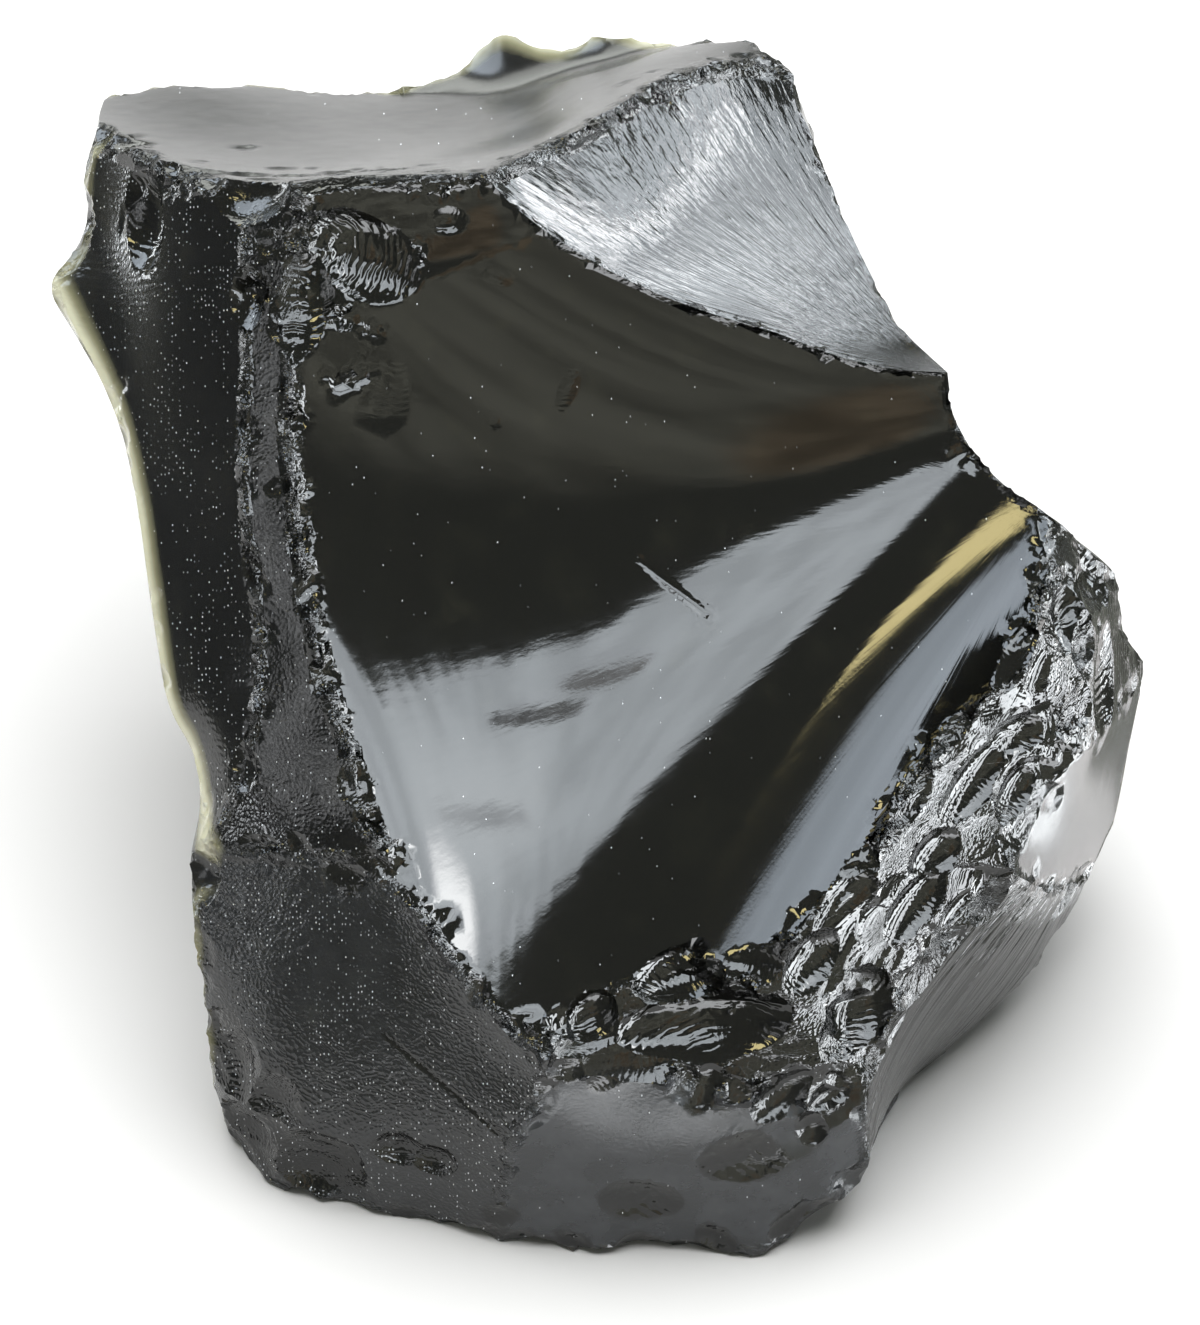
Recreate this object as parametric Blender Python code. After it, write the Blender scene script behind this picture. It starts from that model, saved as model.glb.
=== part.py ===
"""Obsidian chunk: one broken lump of black volcanic glass, lying on a flat break.

The lump is a closed patchwork of fracture faces. Two faces meet along an edge, each
edge is a short hand-placed line in space, and each face is a smooth sheet stretched
between its edges and a few points inside it. Flake scars are then struck off the edges
and out of the crushed parts.

Most points are measured square-on to the great hollow: across to the right, up the
hollow, and out of it. The lump is then leaned back until it rests on its base.
"""

import math
import random

import bmesh
import bpy
import numpy as np
from mathutils import Matrix, Vector
from mathutils.bvhtree import BVHTree
from mathutils.geometry import delaunay_2d_cdt

NODE = "obsidian_chunk"
MM = 0.001

# How the lump lies: the hollow looks this far above the horizon, and its centre is this high.
LEAN = math.radians(50.0)
CENTRE_HEIGHT = 78.0

# Sizes of the facets in mm, along an edge and inside a face.
EDGE_STEP = 5.0
FACE_STEP = 8.0

# Edge ends closer than this are one corner, in mm.
CORNER_REACH = 1.5

# Edges of the front, in mm: across, up the hollow, out of the hollow.
FRONT_EDGES = {
    "crown_end": [(-70, 71.5, -32), (-70.5, 74, -42), (-70, 77, -52)],
    "brow": [(-70, 71.5, -32), (-60, 66, -14), (-49.5, 63, -2)],
    "brow_gap": [(-49.5, 63, -2), (-45.5, 63, 1), (-41.5, 63.5, 2)],
    "hollow_top": [(-41.5, 63.5, 2), (-31, 64, 2.5), (-24, 64, 2), (-16.5, 64, 0)],
    "flute_top": [(-16.5, 64, 0), (-9.5, 67.5, -6), (-1.5, 71.5, -13), (5.5, 76.5, -24),
                  (12.5, 80, -34), (19.5, 81.5, -40), (27, 81, -43)],
    "crest_left": [(-70, 77, -52), (-59.5, 79, -56), (-51, 79, -59), (-39.5, 78, -61),
                   (-30, 78, -62)],
    "crest_peak": [(-30, 78, -62), (-24, 80.5, -62.5), (-19.5, 82, -62.5), (-14, 86, -61),
                   (-8, 84, -60), (-4, 84.5, -59.5), (1.5, 87, -58.5), (6, 85, -57),
                   (11.5, 84.5, -54)],
    "crest_right": [(11.5, 84.5, -54), (20, 85, -50), (24, 83.5, -47), (27, 81, -43)],
    "ledge": [(-30, 78, -62), (-14, 77, -53), (-5.5, 79, -50), (4, 81.5, -47),
              (11.5, 84.5, -54)],
    "flute_foot": [(-16.5, 64, 0), (-12.5, 60, -1), (-5.5, 55, -2), (1.5, 51, -3),
                   (8, 48, -4), (16.5, 45, -5.5), (25, 42.5, -7.5), (33, 39.5, -10),
                   (41.5, 37.5, -13.5), (48, 37, -17)],
    "flute_right": [(27, 81, -43), (28, 75.5, -42), (30, 70.5, -40), (32.5, 64, -37),
                    (35, 57.5, -33), (39, 49, -27), (43, 42.5, -22), (48, 37, -17)],
    "neck": [(48, 37, -17), (48.5, 33.5, -18.5), (49.5, 30, -19.5), (52, 26, -19.5),
             (54.5, 23, -18.5), (57.5, 20.5, -16.5), (63, 17, -12)],
    "shoulder_left": [(63, 17, -12), (62, 14, -10), (62, 11, -8)],
    "shoulder_back": [(63, 17, -12), (67.5, 13, -20), (72.5, 8.5, -30), (73, 4, -33),
                      (75, -1, -39), (77, -4, -45)],
    "shoulder_foot": [(62, 11, -8), (67.5, 5.5, -13), (67.5, -1.5, -14), (66.5, -8.5, -14),
                      (64, -17.5, -14)],
    "flank_ridge": [(77, -4, -45), (74, -8.5, -36), (69.5, -14, -22), (64, -17.5, -14)],
    "hollow_left": [(-41.5, 63.5, 2), (-41.5, 55, 1.5), (-42, 47, 1), (-42.5, 37, 0),
                    (-42.5, 26, 0), (-41.5, 16.5, 0), (-40, 5.5, -0.5), (-38, -5.5, -1),
                    (-35, -14, -1), (-32.5, -23.5, -1), (-29.5, -30.5, -1.5)],
    "hollow_low_left": [(-29.5, -30.5, -1.5), (-23.5, -40, -2), (-18, -47.5, -3),
                        (-13, -53, -4), (-7.5, -58.5, -5)],
    "hollow_rim": [(-7.5, -58.5, -5), (-5, -54, -6), (0, -50.5, -6), (5.5, -48.5, -5.5),
                   (12.5, -47.5, -5), (20, -46, -4), (27.5, -40, -3), (36, -31.5, -1),
                   (42, -22, 0), (49.5, -11.5, 0), (56, -5.5, -1), (60, 3, -4), (62, 11, -8)],
    "cheek_ridge": [(-49.5, 63, -2), (-49, 48.5, -3), (-49, 37.5, -3.5), (-49.5, 25, -4),
                    (-49, 16.5, -4), (-48, 8, -5), (-47, -3, -6), (-49, -16.5, -8),
                    (-52, -23.5, -12), (-55, -29, -16)],
    "left_top": [(-70, 71.5, -32), (-71.5, 68.5, -33), (-72.5, 63, -35), (-73, 56, -36),
                 (-77, 50, -36)],
    "left_edge": [(-77, 50, -36), (-73.5, 43.5, -32), (-70.5, 38, -29), (-67.5, 31, -26),
                  (-65.5, 23.5, -24), (-64, 15.5, -22), (-63, 8.5, -21), (-61, -4, -20),
                  (-59.5, -10.5, -19.5), (-57, -14.5, -19), (-55.5, -21, -18),
                  (-55, -29, -16)],
    "column_foot": [(-29.5, -30.5, -1.5), (-42, -30, -7), (-55, -29, -16)],
    "low_left_edge": [(-55, -29, -16), (-55.5, -31.5, -17), (-54, -34, -17),
                      (-56.5, -36, -20), (-56.5, -40.5, -21), (-55.5, -53, -29),
                      (-54.5, -62, -38), (-53, -67.5, -45)],
    "foot_left": [(-7.5, -58.5, -5), (-9, -64.5, -10), (-12, -69.5, -15), (-13, -75, -21),
                  (-14, -80, -26), (-14, -84.5, -31)],
    "foot_top": [(-7.5, -58.5, -5), (0, -59.5, -6.5), (5.5, -59, -7), (14, -62.5, -9),
                 (22, -63, -10.5), (32, -63.5, -12.5), (37.5, -60, -14)],
    "foot_right": [(37.5, -60, -14), (37, -65.5, -17.5), (37.5, -73, -24)],
    "foot_corner": [(37.5, -73, -24), (33, -78.5, -25.5), (28, -80.5, -26), (26, -84.5, -28.5),
                    (20.5, -86.5, -29.5)],
    "band_low": [(37.5, -60, -14), (41.5, -51.5, -14.5), (47.5, -43, -14.5),
                 (51.5, -38, -14.5), (57.5, -32.5, -15)],
    "band_high": [(57.5, -32.5, -15), (58, -26, -14), (60, -22, -13.5), (62, -19.5, -13.5),
                  (64, -17.5, -14)],
    "flank_low": [(57.5, -32.5, -15), (63, -35, -31), (69.5, -33.5, -50)],
    "flank_back": [(77, -4, -45), (76, -8.5, -46), (74.5, -16, -48), (72.5, -26, -49),
                   (69.5, -33.5, -50)],
    "streak_back": [(69.5, -33.5, -50), (65, -41, -51), (62, -46, -51.5),
                    (56.5, -51.5, -51.5), (51, -56.5, -50.5), (43.5, -62.5, -49.5)],
    "streak_foot": [(43.5, -62.5, -49.5), (39.5, -67, -42), (39, -69, -34), (37.5, -73, -24)],
}

# Edges of the base and the back, in mm as the lump lies: right, back, up.
REST_EDGES = {
    "base_toe": [(-53, -23, 0), (-50.5, -30.5, 0), (-45, -35, 0), (-41, -37, 0),
                 (-30, -40, 0), (-24, -41, 0), (-18, -43.5, 0), (-14, -45, 0)],
    "base_front": [(-14, -45, 0), (-5.5, -46, 0), (0, -47, 0), (5.5, -46, 0),
                   (14, -46.5, 0), (20.5, -47.5, 0)],
    "base_corner": [(20.5, -47.5, 0), (34, -34, 0), (43.5, -16, 0)],
    "base_right": [(43.5, -16, 0), (54, 2, 0), (58, 22, 0)],
    "base_rear_right": [(58, 22, 0), (50, 42, 0), (36, 58, 0)],
    "base_back": [(36, 58, 0), (10, 66, 0), (-20, 62, 0), (-42, 50, 0)],
    "base_left": [(-42, 50, 0), (-50, 25, 0), (-54, 0, 0), (-53, -23, 0)],
    "back_right": [(27, 90, 97), (33, 86, 70), (38, 76, 35), (36, 58, 0)],
    "back_left": [(-70, 92.5, 87.5), (-66, 88, 60), (-55, 70, 28), (-42, 50, 0)],
    "horn_foot": [(77, 26, 41), (72, 27, 20), (58, 22, 0)],
}

# The faces, in the order in which they are settled. A minus walks an edge backwards.
# The stiffness smooths a face's own edges; the points inside it give its hollow or swell.
FACES = {
    "base": {
        "loop": ["base_front", "base_corner", "base_right", "base_rear_right", "base_back",
                 "base_left", "base_toe"],
        "stiffness": 0.0,
    },
    "hollow": {
        "loop": ["hollow_top", "flute_foot", "neck", "shoulder_left", "-hollow_rim",
                 "-hollow_low_left", "-hollow_left"],
        "inside": [(-28, 47, -2), (-28, 26, -5.5), (-28, 5.5, -7.5), (-26, -16, -6),
                   (0, 33, -10.5), (0, 5.5, -15), (0, -22, -12.5), (28, 30, -16),
                   (28, 18, -19), (28, 4, -17.5), (49.5, 21, -18.5), (35.5, 7, -16.8),
                   (40.5, 2, -14.4), (44.5, -2, -10.9), (55, 8.5, -12), (54.5, 16, -16),
                   (20, -8.5, -14.6), (25, -13.5, -12.3), (30.5, -19, -8.6),
                   (12.5, -29.5, -10), (18.5, -35.5, -7.3)],
        "stiffness": 400.0,
    },
    "crown": {
        "loop": ["brow", "brow_gap", "hollow_top", "flute_top", "-crest_right", "-ledge",
                 "-crest_left", "-crown_end"],
        "inside": [(-35, 69, -30), (-12, 71, -30), (-56, 70, -32)],
        "stiffness": 100.0,
    },
    "crown_step": {
        "loop": ["crest_peak", "-ledge"],
        "stiffness": 0.0,
    },
    "flute": {
        "loop": ["flute_top", "flute_right", "-flute_foot"],
        "inside": [(8, 64, -20), (20, 62, -28), (24, 52, -21)],
        "stiffness": 100.0,
    },
    "cheek": {
        "loop": ["brow", "cheek_ridge", "-left_edge", "-left_top"],
        "inside": [(-60, 40, -15), (-56, 15, -12.5), (-54, -8, -12)],
        "stiffness": 50.0,
    },
    "column": {
        "loop": ["brow_gap", "hollow_left", "column_foot", "-cheek_ridge"],
        "inside": [(-46, 20, -2), (-43, -8, -3.5)],
        "stiffness": 20.0,
    },
    "lower_left": {
        "loop": ["hollow_low_left", "foot_left", "-base_toe", "-low_left_edge",
                 "-column_foot"],
        "inside": [(-36, -50, -13), (-30, -65, -20)],
        "stiffness": 20.0,
    },
    "foot": {
        "loop": ["foot_top", "foot_right", "foot_corner", "-base_front", "-foot_left"],
        "inside": [(10, -74, -18)],
        "stiffness": 20.0,
    },
    "band": {
        "loop": ["hollow_rim", "shoulder_foot", "-band_high", "-band_low", "-foot_top"],
        "stiffness": 20.0,
    },
    "shoulder": {
        "loop": ["shoulder_back", "flank_ridge", "-shoulder_foot", "-shoulder_left"],
        "stiffness": 20.0,
    },
    "flank": {
        "loop": ["flank_ridge", "-band_high", "flank_low", "-flank_back"],
        "stiffness": 20.0,
    },
    "streaks": {
        "loop": ["band_low", "flank_low", "streak_back", "streak_foot", "-foot_right"],
        "stiffness": 20.0,
    },
    "undercut": {
        "loop": ["foot_corner", "base_corner", "streak_foot"],
        "stiffness": 20.0,
    },
    "left_wall": {
        "loop": ["crown_end", "back_left", "base_left", "-low_left_edge", "-left_edge",
                 "-left_top"],
        "inside_at_rest": [(-61, 62, 62), (-58, 42, 48), (-57, 62, 35), (-51, 12, 34),
                           (-50, 32, 18), (-50, -6, 22), (-51, 2, 40), (-52, -12, 34)],
        "stiffness": 20.0,
    },
    "back_wall": {
        "loop": ["crest_left", "crest_peak", "crest_right", "back_right", "base_back",
                 "-back_left"],
        "inside_at_rest": [(-40, 80, 50), (-15, 79, 40), (12, 80, 48), (-10, 90, 68)],
        "stiffness": 20.0,
    },
    "right_wall": {
        "loop": ["flute_right", "neck", "shoulder_back", "horn_foot", "base_rear_right",
                 "-back_right"],
        "inside_at_rest": [(37, 65, 75), (48, 52, 50), (54, 42, 20)],
        "stiffness": 20.0,
    },
    "right_foot": {
        "loop": ["flank_back", "streak_back", "base_right", "-horn_foot"],
        "stiffness": 20.0,
    },
}


# Flake scars struck into the front: across, up, radius, depth, stretch, turn of the stretch.
SCARS = {
    "window": (-46.5, 59.5, 5.0, 1.6, 1.2, 60),
    "left_scoop": (-62.5, 57.0, 5.5, 1.8, 1.2, 90),
    "spout": (-47.5, 45.0, 3.5, 1.2, 2.4, 90),
    "great_fan": (-31.0, 49.5, 6.5, 2.0, 1.2, 120),
    "small_fan": (-40.5, 43.0, 5.0, 1.8, 1.5, 90),
    "top_hollow": (-27.0, 56.0, 7.0, 1.4, 1.8, 0),
    "shoulder_shell": (69.5, -6.0, 6.0, 2.0, 1.4, 80),
    "shoulder_cap": (68.5, 8.0, 5.0, 1.6, 1.3, 130),
    "ring": (-2.0, -52.0, 4.5, 2.0, 1.2, 60),
    "shell_low": (8.5, -53.0, 5.5, 2.2, 1.7, 10),
    "shell_wide": (22.0, -55.0, 6.0, 2.6, 1.8, 0),
    "shell_tall": (30.0, -46.0, 6.0, 2.4, 1.7, 50),
    "shell_corner": (35.0, -54.5, 5.0, 2.0, 1.3, 30),
    "shell_dark": (47.0, -29.5, 5.5, 2.4, 1.7, 45),
    "shell_long": (41.0, -38.5, 5.5, 2.2, 1.8, 55),
    "shell_inner": (50.5, -37.0, 5.0, 2.0, 1.4, 60),
    "shell_high": (55.5, -20.5, 5.5, 2.4, 1.6, 30),
    "shell_arch": (60.0, -12.5, 5.0, 2.2, 1.5, 10),
    "shell_top": (62.0, -3.5, 5.0, 2.0, 1.6, 70),
    "shell_peak": (65.0, 4.0, 4.0, 1.6, 1.4, 80),
    "toe_facet": (-50.0, -70.0, 6.0, 2.0, 1.3, 130),
    "toe_scoop": (-38.0, -76.0, 5.0, 1.6, 1.6, 160),
    "twin_left": (-28.0, -71.5, 3.0, 1.2, 1.2, 0),
    "twin_right": (-23.0, -73.0, 2.8, 1.2, 1.2, 0),
    "low_scar": (-51.0, -59.0, 5.0, 1.4, 1.5, 60),
    "notch": (-55.5, -32.5, 3.0, 2.0, 1.2, 30),
    "foot_crescent": (27.0, -69.0, 5.0, 0.9, 1.5, 20),
    "foot_flake": (30.0, -67.0, 2.5, 0.9, 1.4, 90),
}

# Broad scars on the sides and the back: a point near each as the lump lies, then the same.
REAR_SCARS = {
    "back_shell": ((-22, 90, 62), 15.0, 2.8, 1.3, 40),
    "back_low": ((14, 78, 26), 12.0, 2.2, 1.3, 120),
    "back_high": ((14, 92, 76), 10.0, 1.8, 1.4, 10),
    "back_left_shell": ((-48, 76, 34), 10.0, 2.0, 1.3, 70),
    "right_shell": ((46, 58, 62), 13.0, 2.5, 1.3, 60),
    "right_low": ((52, 44, 24), 10.0, 2.0, 1.3, 130),
    "right_under": ((66, 12, 18), 8.0, 1.6, 1.4, 100),
    "left_shell": ((-57, 56, 38), 10.0, 1.8, 1.3, 80),
    "left_low": ((-52, 16, 24), 10.0, 2.0, 1.4, 20),
}

# Crushed edges: how many bites each one has, and their smallest and largest radius.
BITTEN_EDGES = {
    "brow": (4, 2.5, 4.5), "hollow_top": (5, 2.2, 3.5), "flute_top": (4, 1.8, 2.8),
    "hollow_left": (9, 2.5, 4.5), "hollow_low_left": (4, 2.2, 3.6),
    "hollow_rim": (9, 2.8, 4.5), "foot_top": (6, 2.4, 4.0), "band_low": (4, 2.5, 4.0),
    "band_high": (2, 2.2, 3.4), "shoulder_foot": (3, 2.4, 4.0), "cheek_ridge": (4, 1.8, 3.2),
    "left_top": (3, 2.5, 4.0), "left_edge": (2, 1.5, 2.2), "low_left_edge": (3, 2.0, 3.4),
    "foot_corner": (3, 2.5, 4.0), "base_front": (4, 2.0, 3.0), "base_toe": (4, 2.0, 3.5),
    "crest_left": (2, 2.0, 3.0), "crest_peak": (2, 2.0, 3.0), "crest_right": (2, 2.0, 2.8),
    "back_right": (3, 3.5, 6.0), "back_left": (3, 3.5, 6.0), "horn_foot": (2, 3.0, 4.5),
    "streak_back": (2, 2.5, 3.5), "base_back": (3, 3.0, 5.0), "base_left": (2, 3.0, 4.5),
    "base_right": (2, 2.5, 4.0),
}
BITE_DEPTH = 0.42
BITE_SEED = 11

GLASS_BLACK = (0.012, 0.012, 0.013, 1.0)
GLASS_ROUGHNESS = 0.12


def leaned(points):
    """Turn points measured square-on to the hollow into the lump's resting place."""
    across, up, out = np.array(points, dtype=float).T
    back = up * math.sin(LEAN) - out * math.cos(LEAN)
    height = up * math.cos(LEAN) + out * math.sin(LEAN) + CENTRE_HEIGHT
    return np.column_stack([across, back, height])


def smooth_line(points, step):
    """A smooth line through the points, with a point about every step."""
    knots = np.vstack([2 * points[0] - points[1], points, 2 * points[-1] - points[-2]])
    line = [points[0]]
    for before, start, end, after in zip(knots, knots[1:], knots[2:], knots[3:]):
        pieces = max(1, round(np.linalg.norm(end - start) / step))
        for t in np.arange(1, pieces + 1) / pieces:
            line.append(0.5 * (2 * start + (end - before) * t
                               + (2 * before - 5 * start + 4 * end - after) * t ** 2
                               + (3 * start - before - 3 * end + after) * t ** 3))
    return np.array(line)


def make_edges():
    """Every edge as a line of points; ends that meet share the very same point."""
    edges = {name: np.array(points, dtype=float) for name, points in REST_EDGES.items()}
    edges.update({name: leaned(points) for name, points in FRONT_EDGES.items()})
    corners = []
    for points in edges.values():
        for end in (0, -1):
            known = [c for c in corners if np.linalg.norm(c - points[end]) < CORNER_REACH]
            if known:
                points[end] = known[0]
            else:
                corners.append(points[end].copy())
    return {name: smooth_line(points, EDGE_STEP) for name, points in edges.items()}


def walk(loop, edges):
    """The outline of a face, and for each of its points the edge it is on and its place."""
    outline, places = [], []
    for name in loop:
        order = range(len(edges[name.lstrip("-")]))
        order = list(order)[::-1] if name.startswith("-") else list(order)
        if outline and np.linalg.norm(edges[name.lstrip("-")][order[0]] - outline[-1]) > 1e-6:
            raise ValueError(f"edge {name} doesn't start where the last one ended")
        for index in order[1:] if outline else order:
            outline.append(edges[name.lstrip("-")][index])
            places.append((name.lstrip("-"), index))
    if np.linalg.norm(outline[0] - outline[-1]) > 1e-6:
        raise ValueError(f"the loop {loop} isn't closed")
    return np.array(outline[:-1]), places[:-1]


class Sheet:
    """A smooth face over a flat plane: it takes a point of the plane to its height."""

    def __init__(self, outline, inside, slack):
        self.centre = outline.mean(axis=0)
        area = np.cross(outline - self.centre, np.roll(outline, -1, axis=0) - self.centre)
        self.up = area.sum(axis=0) / np.linalg.norm(area.sum(axis=0))
        side = outline[len(outline) // 3] - outline[0]
        side -= self.up * side.dot(self.up)
        self.side = side / np.linalg.norm(side)
        self.along = np.cross(self.up, self.side)
        points = np.vstack([outline, inside]) if len(inside) else outline
        self.knots, heights = self.flatten(points)
        count = len(points)
        flat = np.column_stack([np.ones(count), self.knots])
        system = np.zeros((count + 3, count + 3))
        system[:count, :count] = self.bend(self.knots) + np.diag(slack)
        system[:count, count:] = flat
        system[count:, :count] = flat.T
        solved = np.linalg.solve(system, np.append(heights, np.zeros(3)))
        self.weights, self.plane = solved[:count], solved[count:]

    def bend(self, spots):
        gaps = spots[:, None, :] - self.knots[None, :, :]
        return np.sqrt((gaps ** 2).sum(axis=2)) ** 3

    def flatten(self, points):
        offset = points - self.centre
        return np.column_stack([offset @ self.side, offset @ self.along]), offset @ self.up

    def raise_up(self, spots):
        """Lift points of the plane onto the face."""
        heights = self.bend(spots) @ self.weights
        heights += self.plane[0] + spots @ self.plane[1:]
        return (self.centre + np.outer(spots[:, 0], self.side)
                + np.outer(spots[:, 1], self.along) + np.outer(heights, self.up))


def inner_points(face):
    """A face's own points away from its edges, as the lump lies."""
    if face.get("inside"):
        return leaned(face["inside"])
    return np.array(face.get("inside_at_rest", []), dtype=float).reshape(-1, 3)


def settle_faces(edges):
    """Make every face's sheet, and let the edges that no earlier face has settled follow."""
    settled = set()
    sheets = {}
    for name, face in FACES.items():
        outline, places = walk(face["loop"], edges)
        inside = inner_points(face)
        held = [place in settled or edge_end(place, edges) for place in places]
        slack = [0.0 if fixed else face["stiffness"] for fixed in held]
        sheet = Sheet(outline, inside, slack + [face["stiffness"]] * len(inside))
        spots, _ = sheet.flatten(outline)
        lifted = sheet.raise_up(spots)
        for (edge, index), fixed, point in zip(places, held, lifted):
            if not fixed:
                edges[edge][index] = point
            settled.add((edge, index))
        sheets[name] = sheet
    return sheets


def edge_end(place, edges):
    """Corners stay where they are, whatever faces meet there."""
    return place[1] in (0, len(edges[place[0]]) - 1)


def inside_outline(spots, outline):
    """Which spots are inside a flat outline."""
    result = np.zeros(len(spots), dtype=bool)
    for (x1, y1), (x2, y2) in zip(outline, np.roll(outline, -1, axis=0)):
        crosses = (y1 > spots[:, 1]) != (y2 > spots[:, 1])
        rise = np.where(crosses, y2 - y1, 1.0)
        result ^= crosses & (spots[:, 0] < (x2 - x1) * (spots[:, 1] - y1) / rise + x1)
    return result


def gap_to_outline(spots, outline):
    """How far each spot is from the nearest stretch of the outline."""
    ends = np.roll(outline, -1, axis=0)
    nearest = np.full(len(spots), np.inf)
    for start, end in zip(outline, ends):
        run = end - start
        t = np.clip((spots - start) @ run / run.dot(run), 0.0, 1.0)
        gap = np.linalg.norm(spots - start - t[:, None] * run, axis=1)
        nearest = np.minimum(nearest, gap)
    return nearest


def triangle_grid(outline, step):
    """Rows of points, step apart, inside the outline and clear of it."""
    low, high = outline.min(axis=0), outline.max(axis=0)
    rows = np.arange(low[1], high[1], step * math.sqrt(0.75))
    spots = [(x + 0.5 * step * (row % 2), y)
             for row, y in enumerate(rows) for x in np.arange(low[0], high[0], step)]
    spots = np.array(spots)
    spots = spots[inside_outline(spots, outline)]
    return spots[gap_to_outline(spots, outline) > 0.55 * step] if len(spots) else spots


def add_face(bm, sheet, outline):
    """Fill one face with triangles: its outline as it is, and its inside on the sheet."""
    flat, _ = sheet.flatten(outline)
    grid = triangle_grid(flat, FACE_STEP)
    spots = np.vstack([flat, grid]) if len(grid) else flat
    lifted = sheet.raise_up(grid) if len(grid) else np.zeros((0, 3))
    places = np.vstack([outline, lifted]) * MM
    ring = list(range(len(outline)))
    _, _, triangles, origins, _, _ = delaunay_2d_cdt(
        [Vector(spot) for spot in spots], [], [ring], 1, 1e-6)
    corners = [bm.verts.new(place) for place in places]
    for triangle in triangles:
        bm.faces.new([corners[origins[i][0]] for i in triangle])


def make_lump(edges, sheets):
    """The closed lump of all faces, before any flake is struck off."""
    bm = bmesh.new()
    for name, sheet in sheets.items():
        outline, _ = walk(FACES[name]["loop"], edges)
        add_face(bm, sheet, outline)
    bmesh.ops.remove_doubles(bm, verts=bm.verts, dist=1e-6)
    bmesh.ops.recalc_face_normals(bm, faces=bm.faces)
    mesh = bpy.data.meshes.new(NODE)
    bm.to_mesh(mesh)
    bm.free()
    return mesh


def flake(spot, outward, radius, depth, stretch, turn, fineness):
    """The ball that strikes one shallow scar: its rim radius and depth at the spot."""
    ball = (radius ** 2 + depth ** 2) / (2.0 * depth)
    facing = Vector(outward).to_track_quat("Z", "Y").to_matrix().to_4x4()
    size = Matrix.Diagonal((ball * stretch, ball, ball, 1.0))
    centre = Vector(spot) + Vector(outward) * (ball - depth)
    place = Matrix.Translation(centre * MM) @ facing @ Matrix.Rotation(turn, 4, "Z")
    place = place @ Matrix.Scale(MM, 4) @ size
    bm = bmesh.new()
    bmesh.ops.create_icosphere(bm, subdivisions=fineness, radius=1.0, matrix=place)
    mesh = bpy.data.meshes.new("flake")
    bm.to_mesh(mesh)
    bm.free()
    return mesh


def struck_scars(tree):
    """The named scars of the front: each is found by looking straight into the hollow."""
    out = Vector((0.0, -math.cos(LEAN), math.sin(LEAN)))
    for across, up, radius, depth, stretch, turn in SCARS.values():
        start = Vector(leaned([(across, up, 100.0)])[0]) * MM
        spot, normal, _, _ = tree.ray_cast(start, -out)
        yield flake(spot / MM, normal, radius, depth, stretch, math.radians(turn), 3)


def rear_scars(tree):
    """The broad scars of the sides and the back, each on the nearest spot of the lump."""
    for near, radius, depth, stretch, turn in REAR_SCARS.values():
        spot, normal, _, _ = tree.find_nearest(Vector(near) * MM)
        yield flake(spot / MM, normal, radius, depth, stretch, math.radians(turn), 3)


def bitten_edges(tree, edges):
    """Bites taken at random along each crushed edge, facing away from the lump."""
    rng = random.Random(BITE_SEED)
    for name, (count, smallest, largest) in BITTEN_EDGES.items():
        line = edges[name]
        for number in range(count):
            place = (number + rng.uniform(0.2, 0.8)) / count * (len(line) - 1)
            index = int(place)
            spot = Vector(line[index] + (line[index + 1] - line[index]) * (place - index))
            radius = rng.uniform(smallest, largest)
            stretch = rng.uniform(1.0, 1.6)
            turn = rng.uniform(0.0, math.pi)
            outward = mean_normal(tree, spot)
            yield flake(spot, outward, radius, radius * BITE_DEPTH, stretch, turn, 2)


def mean_normal(tree, spot):
    """The way out of the lump at a spot, averaged over the facets close to it."""
    total = Vector()
    for _, normal, _, _ in tree.find_nearest_range(spot * MM, 2.5 * MM):
        total += normal
    return total.normalized()


def is_closed(mesh):
    bm = bmesh.new()
    bm.from_mesh(mesh)
    closed = all(len(edge.link_faces) == 2 for edge in bm.edges)
    bm.free()
    return closed


def strike(lump, flakes):
    """Strike the flakes off the lump one by one; one that would tear it is left on."""
    for mesh in flakes:
        cutter = bpy.data.objects.new("flake", mesh)
        bpy.context.collection.objects.link(cutter)
        cut = lump.modifiers.new("flake", "BOOLEAN")
        cut.operation = "DIFFERENCE"
        cut.solver = "EXACT"
        cut.object = cutter
        struck = bpy.data.meshes.new_from_object(
            lump.evaluated_get(bpy.context.evaluated_depsgraph_get()))
        lump.modifiers.remove(cut)
        bpy.data.objects.remove(cutter)
        if is_closed(struck):
            lump.data = struck


def glass_material():
    """Black glass with a wet-looking shine."""
    material = bpy.data.materials.new("Obsidian")
    material.use_nodes = True
    shader = material.node_tree.nodes["Principled BSDF"]
    shader.inputs["Base Color"].default_value = GLASS_BLACK
    shader.inputs["Roughness"].default_value = GLASS_ROUGHNESS
    shader.inputs["Metallic"].default_value = 0.0
    return material


def clear_scene():
    for old in list(bpy.data.objects):
        bpy.data.objects.remove(old, do_unlink=True)


def main():
    clear_scene()
    edges = make_edges()
    sheets = settle_faces(edges)
    mesh = make_lump(edges, sheets)
    lump = bpy.data.objects.new(NODE, mesh)
    bpy.context.collection.objects.link(lump)
    whole = bmesh.new()
    whole.from_mesh(mesh)
    tree = BVHTree.FromBMesh(whole)
    whole.free()
    strike(lump, rear_scars(tree))
    strike(lump, struck_scars(tree))
    strike(lump, bitten_edges(tree, edges))
    lump.data.materials.clear()
    lump.data.materials.append(glass_material())
    return lump, edges, sheets


if __name__ == "__main__":
    main()
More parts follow.
